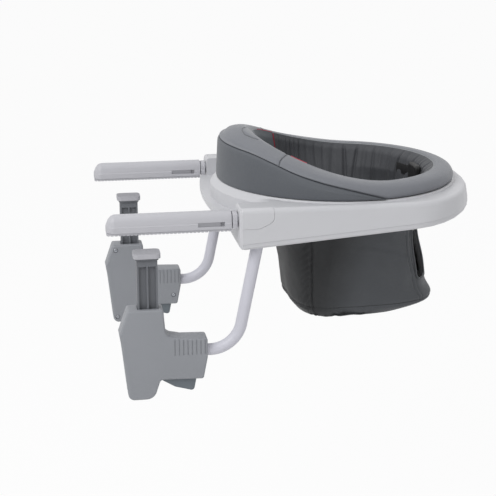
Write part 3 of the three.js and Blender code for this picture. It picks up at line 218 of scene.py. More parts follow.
# %% [markdown]
# ## Finishes
# A finish is a colour, a roughness and the effects that belong to its material. Colours are
# written as they look on screen and turned into linear light. Each Principled shader stays
# in its own material, and the effects only feed its colour, roughness and normal.

# %% Materials
weave_depth = 0.0002
grain_depth = 0.00004


def linear(colour):
    """Screen colour to linear light by the sRGB curve."""
    curve = np.where(colour <= 0.04045, colour / 12.92, ((colour + 0.055) / 1.055) ** 2.4)
    return (*map(float, curve), 1.0)


def bump(tree, texture, strength, distance, **before):
    """A Bump node on a texture's height, on top of an earlier normal where there is one."""
    inputs = {"Height": texture.outputs["Height"], "Strength": strength, "Distance": distance}
    return add_node(tree, "ShaderNodeBump", inputs | before).outputs["Normal"]


def finish(name, colour, roughness, cloth=False, grain_scale=900.0, threads=1400.0, crease=0.0,
           variation=0.04, worn=0.08, **uniform):
    """A Principled material: cloth gets a weave along its own UVs, and other finishes get a grain."""
    material = bpy.data.materials.new(name)
    material.use_nodes = True
    tree = material.node_tree
    shader = tree.nodes["Principled BSDF"].inputs
    for label, value in uniform.items():
        shader[label.replace("_", " ")].default_value = value
    places = tree.nodes.new("ShaderNodeTexCoord").outputs
    place = {"Vector": places["Object"]}
    if cloth:
        inputs = {"Vector": places["UV"], "Threads": threads}
        texture = add_node(tree, "ShaderNodeGroup", inputs, node_tree=weave)
        normal = bump(tree, texture, 0.35, weave_depth)
    else:
        texture = add_node(tree, "ShaderNodeGroup", place | {"Scale": grain_scale}, node_tree=grain)
        normal = bump(tree, texture, 0.5, grain_depth)
    if crease > 0:
        folds = add_node(tree, "ShaderNodeGroup", place, node_tree=creases)
        normal = bump(tree, folds, 0.6, crease, Normal=normal)
    touched = add_node(tree, "ShaderNodeGroup", place, node_tree=wear)
    inputs = {"Value": touched.outputs["Mask"], "To Min": roughness, "To Max": max(roughness - worn, 0.05)}
    rough = add_node(tree, "ShaderNodeMapRange", inputs)
    colour = np.array(colour)
    inputs = {0: texture.outputs["Shade"], 6: linear(colour * (1 - variation)),
              7: linear(np.minimum(colour * (1 + variation), 1))}
    tone = add_node(tree, "ShaderNodeMix", inputs, data_type="RGBA")
    tree.links.new(normal, shader["Normal"])
    tree.links.new(rough.outputs[0], shader["Roughness"])
    tree.links.new(tone.outputs[2], shader["Base Color"])
    return material


shell_plastic = finish("shell_plastic", (0.785, 0.787, 0.80), 0.42, grain_scale=1100, variation=0.012)
arm_plastic = finish("arm_plastic", (0.735, 0.735, 0.755), 0.46, grain_scale=1100, variation=0.012)
# Painted shade: a darker grey for the faces inside the arms' slots, standing in for the shade in the recess.
painted_slot_shade = finish("painted_slot_shade", (0.60, 0.60, 0.62), 0.6, variation=0.03)
grip_rubber = finish("grip_rubber", (0.70, 0.70, 0.72), 0.72, grain_scale=700, variation=0.03)
zinc_steel = finish("zinc_steel", (0.72, 0.73, 0.75), 0.32, Metallic=0.9, variation=0.05, worn=0.1)
tube_coat = finish("tube_coat", (0.80, 0.80, 0.835), 0.38, grain_scale=1600, variation=0.01)
clamp_plastic = finish("clamp_plastic", (0.565, 0.575, 0.595), 0.5, variation=0.02)
trigger_plastic = finish("trigger_plastic", (0.40, 0.43, 0.455), 0.42, variation=0.03)
inner_plastic = finish("inner_plastic", (0.42, 0.43, 0.45), 0.55, variation=0.03)
rim_cloth = finish("rim_cloth", (0.455, 0.465, 0.488), 0.62, cloth=True, crease=0.0006, variation=0.03,
                   Sheen_Weight=0.25, Sheen_Roughness=0.4)
band_cloth = finish("band_cloth", (0.348, 0.362, 0.382), 0.7, cloth=True, crease=0.0005, variation=0.04,
                    Sheen_Weight=0.2, Sheen_Roughness=0.4)
lining_cloth = finish("lining_cloth", (0.255, 0.262, 0.278), 0.68, cloth=True, crease=0.0012, variation=0.06,
                      Sheen_Weight=0.15, Sheen_Roughness=0.4)
panel_cloth = finish("panel_cloth", (0.36, 0.38, 0.40), 0.7, cloth=True, crease=0.0006, variation=0.04,
                     Sheen_Weight=0.2, Sheen_Roughness=0.4)
bag_cloth = finish("bag_cloth", (0.265, 0.275, 0.29), 0.66, cloth=True, crease=0.0012, variation=0.06,
                   Sheen_Weight=0.15, Sheen_Roughness=0.4)


def painted_shade_behind(material, dark, place_x, place_z, lean, width):
    """Painted shade: multiplies a material's colour by dark behind the plane x = place_x + lean (z -
    place_z), with a smooth change over the width, and leaves it as it is in front."""
    tree = material.node_tree
    shown = tree.nodes["Principled BSDF"].inputs["Base Color"]
    plain = shown.links[0].from_socket
    places = next(node for node in tree.nodes if node.type == "TEX_COORD").outputs
    place = add_node(tree, "ShaderNodeSeparateXYZ", {0: places["Object"]}).outputs
    line = maths(tree, "MULTIPLY_ADD", place["Z"], -lean, place_z * lean - place_x)
    inputs = {"Value": maths(tree, "ADD", place["X"], line), "From Min": -width, "From Max": width}
    away = add_node(tree, "ShaderNodeMapRange", inputs, interpolation_type="SMOOTHSTEP")
    shade = add_node(tree, "ShaderNodeVectorMath", {0: plain, "Scale": dark}, operation="SCALE")
    inputs = {0: away.outputs[0], 6: shade.outputs[0], 7: plain}
    colour = add_node(tree, "ShaderNodeMix", inputs, data_type="RGBA")
    tree.links.new(colour.outputs[2], shown)


# Painted shade: the bag's cloth is darkened to 0.22 of its colour behind a leaning plane at its back, where a
# shadow falls.
painted_shade_behind(bag_cloth, 0.22, 0.205, -0.08, 0.217, 0.045)
webbing = finish("webbing", (0.085, 0.085, 0.09), 0.75, cloth=True, threads=900.0, variation=0.08)
buckle_plastic = finish("buckle_plastic", (0.06, 0.06, 0.065), 0.6, variation=0.05)
seam_thread = finish("seam_thread", (0.22, 0.23, 0.25), 0.8, variation=0.05)
bag_thread = finish("bag_thread", (0.15, 0.155, 0.165), 0.8, variation=0.05)
soft_thread = finish("soft_thread", (0.44, 0.45, 0.46), 0.8, variation=0.05)
pale_piping = finish("pale_piping", (0.60, 0.61, 0.62), 0.65, variation=0.04)
red_trim = finish("red_trim", (0.66, 0.12, 0.22), 0.6, variation=0.05)
print("finishes:", len(bpy.data.materials))

# %% [markdown]
# ## Making surfaces
# A surface is a table of points: one index runs along it, the other across it. Neighbouring
# points in the table become quads, and a table that closes on itself is wrapped. The UV map
# holds real lengths, so that a weave keeps one size on every piece of cloth.

# %% Surface helpers
sharp_angle = 38


def steps(points, axis):
    """Mean length of each step between neighbouring points along one index, added up from 0."""
    length = np.linalg.norm(np.diff(points, axis=axis), axis=2).mean(axis=1 - axis)
    return np.concatenate([[0], np.cumsum(length)])


def wrapped(table, axis):
    """A table with its first row or column once more behind the last one."""
    return np.concatenate([table, table.take([0], axis=axis)], axis=axis)


def cells(table):
    """The four neighbours at the corners of each cell of a table, in order round the cell."""
    return np.stack([table[:-1, :-1], table[1:, :-1], table[1:, 1:], table[:-1, 1:]], 2)


def surface(name, points, material, wrap_along=False, wrap_across=False, caps=False):
    """Quads between neighbours in a table of points. Where caps is true, the first and last rows are
    closed by a fan about their middles. The faces turn outwards by the sign of the enclosed volume."""
    points = np.asarray(points, float)
    index = np.arange(points.shape[0] * points.shape[1]).reshape(points.shape[:2])
    full = points
    for axis, wrap in enumerate((wrap_along, wrap_across)):
        if wrap:
            index, full = wrapped(index, axis), wrapped(full, axis)
    maps = np.stack(np.meshgrid(steps(full, 0), steps(full, 1), indexing="ij"), -1)
    vertices = points.reshape(-1, 3)
    faces = [cells(index).reshape(-1, 4)]
    face_maps = [cells(maps).reshape(-1, 4, 2)]
    if caps:
        for row, order in ((0, 1), (len(points) - 1, -1)):
            middle = len(vertices)
            vertices = np.concatenate([vertices, points[row].mean(axis=0, keepdims=True)])
            loop = index[row]
            fan = np.stack([loop[:-1], loop[1:], np.full(len(loop) - 1, middle)], -1)[:, ::order]
            faces.append(fan)
            face_maps.append(vertices[fan][:, :, :2])
    made = build(name, vertices, faces, face_maps, material)
    if (caps or (wrap_along and wrap_across)) and enclosed(made) < 0:
        made.data.flip_normals()
    return made


def build(name, vertices, faces, face_maps, material):
    """A mesh object from arrays of corners: faces is a list of arrays, one for each corner count."""
    mesh = bpy.data.meshes.new(name)
    counts = np.concatenate([np.full(len(part), part.shape[1]) for part in faces])
    corners = np.concatenate([part.reshape(-1) for part in faces])
    mesh.vertices.add(len(vertices))
    mesh.vertices.foreach_set("co", np.asarray(vertices, np.float32).reshape(-1))
    mesh.loops.add(len(corners))
    mesh.loops.foreach_set("vertex_index", corners.astype(np.int32))
    mesh.polygons.add(len(counts))
    mesh.polygons.foreach_set("loop_start", (np.cumsum(counts) - counts).astype(np.int32))
    mesh.polygons.foreach_set("use_smooth", np.ones(len(counts), bool))
    mesh.update(calc_edges=True)
    layer = mesh.uv_layers.new(name="cloth")
    flat = np.concatenate([part.reshape(-1, 2) for part in face_maps])
    layer.data.foreach_set("uv", flat.astype(np.float32).reshape(-1))
    mesh.validate()
    mesh.materials.append(material)
    return put(name, mesh)


def enclosed(piece):
    """Signed volume inside a closed mesh: the sum of the corner tetrahedra over its triangles."""
    form = bmesh.new()
    form.from_mesh(piece.data)
    volume = form.calc_volume(signed=True)
    form.free()
    return volume


def through(points, count, closed=False):
    """A smooth curve through points: the Catmull-Rom cubic between each pair, count steps a pair.
    Points may carry any further indices behind the first."""
    points = np.asarray(points, float)
    if closed:
        padded = np.concatenate([points[-1:], points, points[:2]])
        last = len(points)
    else:
        padded = np.concatenate([2 * points[:1] - points[1:2], points, 2 * points[-1:] - points[-2:-1]])
        last = len(points) - 1
    shares = np.arange(count) / count
    shares = shares.reshape((1, -1) + (1,) * (points.ndim - 1))
    p0, p1, p2, p3 = (padded[i:i + last][:, None] for i in range(4))
    value = 0.5 * (2 * p1 + (p2 - p0) * shares + (2 * p0 - 5 * p1 + 4 * p2 - p3) * shares ** 2
                   + (3 * p1 - p0 - 3 * p2 + p3) * shares ** 3)
    value = value.reshape((-1,) + points.shape[1:])
    return value if closed else np.concatenate([value, points[-1:]])


def crisp(piece, degrees=sharp_angle):
    """Shades a piece smooth, and keeps edges sharper than an angle."""
    piece.data.polygons.foreach_set("use_smooth", np.ones(len(piece.data.polygons), bool))
    piece.data.set_sharp_from_angle(angle=math.radians(degrees))
    return piece


def settle(piece):
    """Applies a piece's modifiers, so that its mesh holds the finished form."""
    bpy.context.view_layer.update()
    graph = bpy.context.evaluated_depsgraph_get()
    made = bpy.data.meshes.new_from_object(piece.evaluated_get(graph))
    piece.modifiers.clear()
    piece.data = made
    return piece


def belongs(piece, body, finish_slot, *replaced):
    """The piece rides on a body and stands for CAD nodes, which are hidden. The finish slot is not used."""
    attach(piece, body)
    if replaced:
        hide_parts(*replaced)
    return piece


print("surface helpers ready")

# %% [markdown]
# ## Moulded parts from their CAD solids
# A CAD solid has the right places and sharp edges. A real moulding has small rounds that
# catch the light. A copy of the solid is merged, its flat faces are joined, and a bevel
# rounds the edges, so a part is dressed without a new shape.

# %% Dressing a CAD node


def dressed(node, body, finish_slot, material, rounding=0.5):
    """A copy of a CAD node with merged corners, joined flat faces and rounded edges."""
    mesh = nodes[node].data.copy()
    form = bmesh.new()
    form.from_mesh(mesh)
    bmesh.ops.remove_doubles(form, verts=form.verts, dist=0.02 * mm)
    bmesh.ops.dissolve_limit(form, angle_limit=math.radians(0.8), verts=form.verts, edges=form.edges)
    form.to_mesh(mesh)
    form.free()
    mesh.materials.clear()
    mesh.materials.append(material)
    piece = put(node + "_moulded", mesh)
    if rounding > 0:
        edge = piece.modifiers.new("edge", "BEVEL")
        edge.width = rounding * mm
        edge.segments = 2
        edge.limit_method = "ANGLE"
        edge.angle_limit = math.radians(sharp_angle)
        settle(piece)
    crisp(piece)
    weighted = piece.modifiers.new("shade", "WEIGHTED_NORMAL")
    weighted.keep_sharp = True
    settle(piece)
    return belongs(piece, body, finish_slot, node)


base_shell = dressed("base_upper_shell", "base", "shell", shell_plastic, 0.7)
base_tray = dressed("base_lower_tray", "base", "shell", shell_plastic, 0.6)
print("base faces:", len(base_shell.data.polygons), len(base_tray.data.polygons))

# %% Arms, sockets and lock
sides = (("left", -1), ("right", 1))
arm_y = 185.5
arm_half = 15.0
slot_end, slot_length, slot_depth = -18.0, 42.0, 1.2
slot_low, slot_high = 8.0, 15.6
arm_parts = (
    ("arm_grip_sole_", "sole", grip_rubber, 0), ("arm_collar_", "arm", arm_plastic, 0.6),
    ("upper_arm_tube_", "steel", zinc_steel, 0), ("socket_cover_", "shell", shell_plastic, 0.4),
    ("socket_block_", "inner", inner_plastic, 0.4), ("leg_bush_", "inner", inner_plastic, 0))
for side, sign in sides:
    sleeve = dressed("arm_sleeve_" + side, "base", "arm", arm_plastic, 0.5)
    # Painted shade: the faces sunk inside the slot take the darker grey, where shade falls in the recess.
    sleeve.data.materials.append(painted_slot_shade)
    for face in sleeve.data.polygons:
        x, y, z = face.center / mm
        sunk = abs(abs(y) - arm_y) < arm_half - slot_depth
        if sunk and slot_end - slot_length < x < slot_end + 1 and slot_low < z < slot_high:
            face.material_index = 1
    for stem, finish_slot, paint, rounding in arm_parts:
        dressed(stem + side, "base", finish_slot, paint, rounding)
dressed("turn_lock", "turn_lock", "trigger", trigger_plastic, 0.8)
dressed("turn_race", "base", "inner", inner_plastic, 0)
print("arms dressed")

# %% [markdown]
# ## Lower arms
# Each lower arm is one bent steel tube: a leg that leans towards the table, a bend, and a
# level run into the clamp. A circle carried along that path is a smooth tube, and it is
# closed where it enters the clamp and the base.

# %% Tubes
leg_x = 40.7
leg_top = 1.2
lean_share = 0.2
lean = math.atan(lean_share)
run_z = -196.0
run_end_x = -96.0
bend_radius = 50.0
tube_radius = 9.5


def swept(path, radius, facets):
    """A circle carried along a path: at each point it lies across the path's direction. The circle's
    axes follow the path by taking the part of the last one that is square to the new direction."""
    path = np.asarray(path, float)
    ahead = np.gradient(path, axis=0)
    ahead /= np.linalg.norm(ahead, axis=1, keepdims=True)
    side = np.cross(ahead[0], (0.3, 1.0, 0.2))
    first = []
    for direction in ahead:
        side = side - direction * (side @ direction)
        side = side / np.linalg.norm(side)
        first.append(side)
    first = np.array(first)
    second = np.cross(ahead, first)
    turn = np.linspace(0, 2 * np.pi, facets, endpoint=False)
    radius = np.broadcast_to(np.asarray(radius, float), (len(path),))[:, None, None]
    return path[:, None] + radius * (np.cos(turn)[None, :, None] * first[:, None]
                                     + np.sin(turn)[None, :, None] * second[:, None])


def cord(name, line, radius, facets, material, *place, closed=False):
    """A round cord along a line in millimetres, joined to itself or with flat ends. Its body, its slot
    and the CAD nodes that it stands for may follow the material."""
    table = swept(wrapped(line, 0), radius, facets)[:-1] if closed else swept(line, radius, facets)
    piece = surface(name, table * mm, material, wrap_along=closed, wrap_across=True, caps=not closed)
    return belongs(piece, *place) if place else piece


def lower_arm_path(sign):
    """Down the leaning leg, round the bend in equal turns, and along the level run."""
    turning = math.pi / 2 - lean
    centre_x = leg_x + lean_share * run_z - bend_radius * math.tan(turning / 2)
    angle = lean + turning * np.linspace(0, 1, 24)
    bend = np.stack([centre_x + bend_radius * np.cos(angle), run_z + bend_radius * (1 - np.sin(angle))], 1)
    top = np.array([[leg_x + math.sin(lean) * leg_top, leg_top * math.cos(lean)]])
    leg = top + (bend[:1] - top) * np.linspace(0, 1, 12, endpoint=False)[:, None]
    run_end = np.array([[run_end_x, run_z]])
    run = bend[-1:] + (run_end - bend[-1:]) * np.linspace(0, 1, 8)[1:, None]
    flat = np.concatenate([leg, bend, run])
    return np.stack([flat[:, 0], np.full(len(flat), sign * arm_y), flat[:, 1]], 1)


for side, sign in sides:
    body = "lower_arm_" + side
    crisp(cord("lower_tube_" + side, lower_arm_path(sign), tube_radius, 40, tube_coat, body, "tube",
               "lower_arm_tube_" + side))
    dressed("leg_cap_" + side, body, "steel", zinc_steel, 0.3)
print("tube of", round(float(np.linalg.norm(np.diff(lower_arm_path(-1), axis=0), axis=1).sum())), "mm")

# %% [markdown]
# ## Clamps
# Each clamp is a hand-sized housing in two halves, with a post, a foot and a ribbed grip.
# Its corners are generously round. An outline is drawn in the clamp's side view, and the
# solid between its two faces is rounded along the whole outline by rings of points that
# step inwards as they near the face.

# %% Clamp housings
clamp_x = -138.0
clamp_length = 138.0
clamp_heel = 46.0
clamp_height = 149.0
clamp_below = 73.0
clamp_width = 34.0
clamp_wall = 2.8
housing_shares = [
    (0.101, 1, 0.03), (0, 0.735, 0.03), (0.025, 0.59, 0.04), (0.09, 0, 0.075), (0.38, 0, 0.12),
    (0.457, 0.215, 0.05), (0.95, 0.2, 0.03), (1, 0.44, 0.1), (1, 0.655, 0.03), (0.7, 0.665, 0.08),
    (0.525, 0.7, 0.09), (0.5, 1, 0.03),
]


def along_clamp(share):
    return share * clamp_length - clamp_heel


def up_clamp(share):
    return share * clamp_height - clamp_below


def rounded(corners, per_corner=8):
    """An outline through corners (x, y, r): at each corner an arc touches both edges, r / tan(a / 2)
    from the corner, where a is the angle between the edges. A short edge makes the arc smaller."""
    corners = np.asarray(corners, float)
    here = corners[:, :2]
    edges = [np.roll(here, step, axis=0) - here for step in (1, -1)]
    lengths = [np.linalg.norm(edge, axis=1, keepdims=True) for edge in edges]
    before, after = (edge / length for edge, length in zip(edges, lengths))
    half = np.arccos(np.clip((before * after).sum(axis=1, keepdims=True), -1, 1)) / 2
    run = np.minimum(corners[:, 2:] / np.tan(half), np.minimum(*lengths) / 2)
    middle = before + after
    middle /= np.linalg.norm(middle, axis=1, keepdims=True)
    centre = here + middle * run / np.cos(half)
    start, stop = here + before * run - centre, here + after * run - centre
    side = np.sign(start[:, :1] * stop[:, 1:] - start[:, 1:] * stop[:, :1])
    square = np.concatenate([-start[:, 1:], start[:, :1]], 1) * side
    turn = ((math.pi - 2 * half) * np.linspace(0, 1, per_corner))[..., None]
    points = (centre[:, None] + start[:, None] * np.cos(turn) + square[:, None] * np.sin(turn)).reshape(-1, 2)
    keep = np.linalg.norm(points - np.roll(points, 1, axis=0), axis=1) > 0.01
    return points[keep]


def inward(points):
    """Unit normals of an outline, pointing inside: the mean direction of the two edges, turned."""
    ahead = np.roll(points, -1, axis=0) - points
    ahead /= np.linalg.norm(ahead, axis=1, keepdims=True)
    mean = ahead + np.roll(ahead, 1, axis=0)
    mean /= np.linalg.norm(mean, axis=1, keepdims=True)
    area = (points[:, 0] * np.roll(points[:, 1], -1) - np.roll(points[:, 0], -1) * points[:, 1]).sum()
    return np.stack([-mean[:, 1], mean[:, 0]], 1) * np.sign(area)


def pillow(name, outline, low, high, rounding, material):
    """A plate between two faces with rounded rims: ring by ring the outline moves inwards by
    r (1 - cos a) while the height moves by r (1 - sin a) from the face, for a from 0 to 90 degrees."""
    normal = inward(outline)
    turn = np.linspace(math.pi / 2, 0, 6)
    table = []
    for face, way, angles in ((low, 1, turn), (high, -1, turn[::-1])):
        for angle in angles:
            ring = outline + normal * rounding * (1 - math.cos(angle))
            height = np.full(len(ring), face + way * rounding * (1 - math.sin(angle)))
            table.append(np.stack([ring[:, 0], height, ring[:, 1]], 1))
    table = np.array(table)
    index = np.arange(table.shape[0] * table.shape[1]).reshape(table.shape[:2])
    quads = cells(wrapped(index, 1)).reshape(-1, 4)
    mesh = bpy.data.meshes.new(name)
    mesh.from_pydata((table.reshape(-1, 3) * mm).tolist(), [],
                     quads.tolist() + [index[0].tolist(), index[-1][::-1].tolist()])
    mesh.materials.append(material)
    piece = put(name, mesh)
    if enclosed(piece) < 0:
        mesh.flip_normals()
    form = bmesh.new()
    form.from_mesh(mesh)
    bmesh.ops.recalc_face_normals(form, faces=form.faces)
    flats = [face for face in form.faces if len(face.verts) > 4]
    bmesh.ops.triangulate(form, faces=flats, ngon_method="EAR_CLIP")
    form.to_mesh(mesh)
    form.free()
    return piece


def carve(piece, *cutters, how="DIFFERENCE"):
    """Takes cutters away from a piece, joins them to it, or keeps only what lies in them too."""
    for cutter in cutters:
        cut = piece.modifiers.new("cut", "BOOLEAN")
        cut.operation = how
        cut.solver = "MANIFOLD"
        cut.object = cutter
    settle(piece)
    for cutter in cutters:
        bpy.data.objects.remove(cutter)
    return piece


def box_cutter(low, high):
    """A box between two corners, in millimetres."""
    low, high = np.minimum(low, high), np.maximum(low, high)
    pick = np.array([[0, 0, 0], [1, 0, 0], [1, 1, 0], [0, 1, 0], [0, 0, 1], [1, 0, 1], [1, 1, 1], [0, 1, 1]])
    mesh = bpy.data.meshes.new("cutter")
    faces = [(0, 3, 2, 1), (4, 5, 6, 7), (0, 1, 5, 4), (1, 2, 6, 5), (2, 3, 7, 6), (3, 0, 4, 7)]
    mesh.from_pydata(((low + pick * (high - low)) * mm).tolist(), [], faces)
    return put("cutter", mesh)


def rod_cutter(start, stop, radius, facets=32):
    """A round rod between two points, in millimetres."""
    return cord("cutter", np.array([start, stop]), radius, facets, clamp_plastic)


housing_outline = rounded([(along_clamp(u), up_clamp(v), r * clamp_length) for u, v, r in housing_shares], 10)
grip_foot = up_clamp(0.2)
grip_top = up_clamp(0.665)
screw_places = [(0.14, 0.07), (0.9, 0.32), (0.14, 0.93)]
half_width = clamp_width / 2
half_inside = half_width - clamp_wall
edge_round = 3.6
joint_gap = 0.18
well_start, well_half = 16.5, 9.8
groove_pitch, groove_width, groove_depth, groove_drop = 6.8, 1.6, 0.9, 27
recess_radius, recess_floor = 4.2, 14.5
jaw_well = np.array([(-16.8, -70), (3.3, -70), (13.3, -40.8), (16.8, -37.3), (16.8, 90), (-16.8, 90)])


def clamp_housing(side, sign):
    """The rounded housing with its works cut out, parted in two halves by a fine joint line."""
    y = sign * arm_y
    move = np.array([clamp_x, y, run_z])
    shift = move[[0, 2]]
    for name, face in (("outer", sign), ("inner", -sign)):
        body = pillow("clamp_shell_%s_%s" % (name, side), housing_outline + shift, y - half_width,
                      y + half_width, edge_round, clamp_plastic)
        inside = move + (well_start, -half_inside, grip_foot + clamp_wall)
        cutters = [
            pillow("cutter", jaw_well + shift, y - well_half, y + well_half, 0.001, clamp_plastic),
            box_cutter(inside, move + (66, half_inside, grip_top - clamp_wall)),
            box_cutter(move + (well_start, -10.8, grip_foot - 6), move + (82.3, 10.8, -29.4)),
            rod_cutter(move + (42, 0, 0), move + (120, 0, 0), tube_radius + 0.3),
        ]
        for groove in range(8):
            x = clamp_length - clamp_heel - 3.5 - groove * groove_pitch
            for flank in (-1, 1):
                low = move + (x - groove_width, flank * (half_width - groove_depth), grip_top - groove_drop)
                cutters.append(box_cutter(low, move + (x, flank * (half_width + 3), grip_top + 8)))
        if face == -sign:
            for u, v in screw_places:
                spot = move + (along_clamp(u), face * recess_floor, up_clamp(v))
                cutters.append(rod_cutter(spot, spot + (0, face * 5.5, 0), recess_radius, 24))
        carve(body, *cutters)
        near, far = y + face * joint_gap, y + face * 40
        carve(body, box_cutter((-300, near, -400), (100, far, 100)), how="INTERSECT")
        crisp(body, 32)
        belongs(body, "lower_arm_" + side, "clamp", "clamp_%s_half_%s" % (name, side))


for side, sign in sides:
    clamp_housing(side, sign)
print("housing outline points:", len(housing_outline))

# %% [markdown]
# ## Trigger, jaw and brake
# A dark wedge under the grip is squeezed to let the jaw down. It turns on a pin with a
# spring round it, and its arm swings a cam off the jaw. The wedge gets softer edges than
# the CAD solid, because fingers pull on it.

# %% Clamp works
pivot = (22.0, -35.0)
wedge = rounded([
    (17, -42.5, 2.5), (40, -56.5, 18), (70, -65, 5), (75, -40, 1.5), (70, -40, 0.5), (27, -32.5, 2.5),
    (17, -32.5, 2.5)], 8)
push_arm = rounded([(26.5, -35, 0.2), (32.5, -35, 0.2), (32.5, -13.25, 2.5), (26.5, -13.25, 1.25)], 5)
spring_turns, spring_radius, spring_length, wire_radius = 3, 4.1, 4.5, 0.5


def clamp_trigger(side, sign):
    """The wedge as a rounded plate, joined to the upright arm that pushes the cam, and bored for its
    pin and its spring. With it comes the middle of the pin."""
    shift = np.array([clamp_x, run_z])
    y = sign * arm_y
    body = pillow("trigger_grip_" + side, wedge + shift, y - 10, y + 10, 1.8, trigger_plastic)
    carve(body, pillow("arm", push_arm + shift, y - 7, y + 7, 0.4, trigger_plastic), how="UNION")
    centre = np.array([clamp_x + pivot[0], y, run_z + pivot[1]])
    carve(body, rod_cutter(centre - (0, 20, 0), centre + (0, 20, 0), 2.8, 24),
          rod_cutter(centre - (0, 3.25, 0), centre + (0, 3.25, 0), 5.6, 24))
    crisp(body, 32)
    belongs(body, "trigger_" + side, "trigger", "clamp_trigger_" + side)
    return centre


for side, sign in sides:
    body = "lower_arm_" + side
    turn = np.linspace(0, 1, 97)
    angle = spring_turns * 2 * np.pi * turn
    coil = clamp_trigger(side, sign) + np.stack([
        spring_radius * np.cos(angle), (turn - 0.5) * spring_length, spring_radius * np.sin(angle)], 1)
    cord("spring_coil_" + side, coil, wire_radius, 10, zinc_steel, body, "steel", "trigger_spring_" + side)
    dressed("clamp_jaw_" + side, "jaw_" + side, "inner", inner_plastic, 0.6)
    dressed("jaw_pad_" + side, "jaw_" + side, "pad", grip_rubber, 0.8)
    dressed("brake_cam_" + side, "cam_" + side, "trigger", trigger_plastic, 0.4)
    for pin in ("trigger_pin_", "cam_pin_"):
        dressed(pin + side, body, "steel", zinc_steel, 0.3)
print("springs of", spring_turns, "turns")

# %% [markdown]
# ## Screws
# Three screws close each clamp, and six hold the tray under the base. A screw head is a
# dome with a cross sunk into it: the height falls where a point is near one of the two arms
# of the cross, and the arms fade out before the rim.

# %% Screw heads


def screw_head(name, centre, out, radius, height):
    """A polar table: height = h (1 - (r/R)^4) minus the cross, a smooth step on |x| or |y| below the
    arm's half width, times a fade beyond the arm's length. It is laid along a direction."""
    share = np.concatenate([np.linspace(0.02, 0.97, 22), [1.0, 1.0]])
    turn = np.linspace(0, 2 * np.pi, 48, endpoint=False)
    r, a = np.meshgrid(share * radius, turn, indexing="ij")
    x, y = r * np.cos(a), r * np.sin(a)
    near = np.minimum(np.abs(x), np.abs(y))
    arm = 1 / (1 + np.exp((near - 0.13 * radius) / (0.035 * radius)))
    fade = 1 / (1 + np.exp((r - 0.62 * radius) / (0.04 * radius)))
    rise = height * (1 - 0.55 * (r / radius) ** 4) - 0.75 * height * arm * fade
    rise[-1] = 0
    out = np.asarray(out, float)
    first = np.cross(out, (0.0, 0.0, 1.0) if abs(out[2]) < 0.9 else (1.0, 0.0, 0.0))
    first /= np.linalg.norm(first)
    second = np.cross(out, first)
    points = (np.asarray(centre) + x[..., None] * first + y[..., None] * second + rise[..., None] * out)
    head = surface(name, points * mm, zinc_steel, wrap_across=True, caps=True)
    return crisp(head, 50)


for side, sign in sides:
    for count, (u, v) in enumerate(screw_places, 1):
        spot = (clamp_x + along_clamp(u), sign * (arm_y - 14.7), run_z + up_clamp(v))
        head = screw_head("clamp_screw_head_%s_%d" % (side, count), spot, (0, -sign, 0), 3.6, 2.0)
        belongs(head, "lower_arm_" + side, "steel", "clamp_screw_%s_%d" % (side, count))

underside_rise = 0.077
tray_screws = [(112 + 62 * i, sign * 202.75) for i in range(3) for sign in (-1, 1)]
for count, (x, y) in enumerate(tray_screws, 1):
    z = underside_rise * (x - 4) - 28.5 + 2.1
    belongs(screw_head("tray_screw_%d" % count, (x, y, z), (0, 0, -1), 3.5, 1.9), "base", "steel")
print("screws:", 6 + len(tray_screws))

# %% [markdown]
# ## The bumper
# Two sewn parts make the soft ring: a light roll over the top and a darker band round the
# outside of the back. Both are surfaces over two parameters, the angle from the back and
# the place across the profile. Heights along the ring come from smooth curves, so the roll
# falls from a tall back to a low front.

# %% Bumper curves
seat_x = 200.0
ring_r = 201.5
bumper_low = 39.4
frame_r = 182.0
flange_r = 196.0
pad_foot = 42.1
seam_shares = np.array([0.922, 0.92, 0.91, 0.866, 0.731, 0.54, 0.38, 0.238, 0.077])
seam_step = 12
crest_end = math.radians(112.6)
seam_end, seam_tip = math.radians(96), math.radians(101)


def crest_at(angle):
    """Height of the roll's crest: half a cosine wave from the back to 112.6 degrees, then level."""
    return 60.5 + 62.5 * (1 + np.cos(np.minimum(np.abs(angle) / crest_end, 1) * np.pi)) / 2


def seam_at(angle):
    """Height of the seam under the roll: a smooth curve through its heights at every 12 degrees,
    carried down to the bumper's foot past the last one."""
    heights = bumper_low + 70.6 * seam_shares
    last = len(heights) - 1
    places = np.radians(seam_step * np.arange(-last, last + 1))
    table = through(np.stack([places, np.concatenate([heights[:0:-1], heights])], 1), 12)
    value = np.interp(angle, table[:, 0], table[:, 1])
    fall = np.clip((np.abs(angle) - seam_end) / (seam_tip - seam_end), 0, 1)
    return value + (bumper_low - value) * fall


def back_share(angle):
    """How much a place belongs to the back: the fifth power of the cosine, and 0 at the front."""
    return np.maximum(np.cos(angle), 0) ** 5


def soft_share(angle):
    """The same with the square of the cosine, which reaches further round."""
    return np.maximum(np.cos(angle), 0) ** 2


def opening_at(angle):
    """Radius of the lip: nearer the seat's axis at the back than at the front."""
    return 156.8 - 12.1 * np.cos(angle) + 2.75 * np.sin(angle) ** 2 - 6 * back_share(angle)


def lip_at(angle):
    """Height of the lip: just under the crest, and well under it in the middle of the back."""
    return crest_at(angle) - 1.2 - 3 * soft_share(angle) - 6.8 * back_share(angle)


def seam_radius(angle):
    """Radius of the seam under the roll, which is drawn in at the back."""
    return ring_r - 2.6 - 4.7 * soft_share(angle)


def round_seat(angle, radius, z):
    """A point at an angle from the back, a distance from the seat's axis, and a height."""
    x = seat_x - radius * np.cos(angle)
    return np.stack(np.broadcast_arrays(x, radius * np.sin(angle), z), -1)


def profile(angle, *points):
    """The points (radius, height) of a profile at each angle, as one table."""
    ones = np.ones_like(angle)
    return np.array([[radius * ones, z * ones] for radius, z in points])


print("crest from", crest_at(0.0), "down to", crest_at(math.pi), "mm")

# %% [markdown]
# A sewn seam draws the cloth in along its line. Every seam here is a list of points on the
# surface: the surface sinks beside them in a soft valley, and a thread lies in the valley.

# %% Roll of the bumper


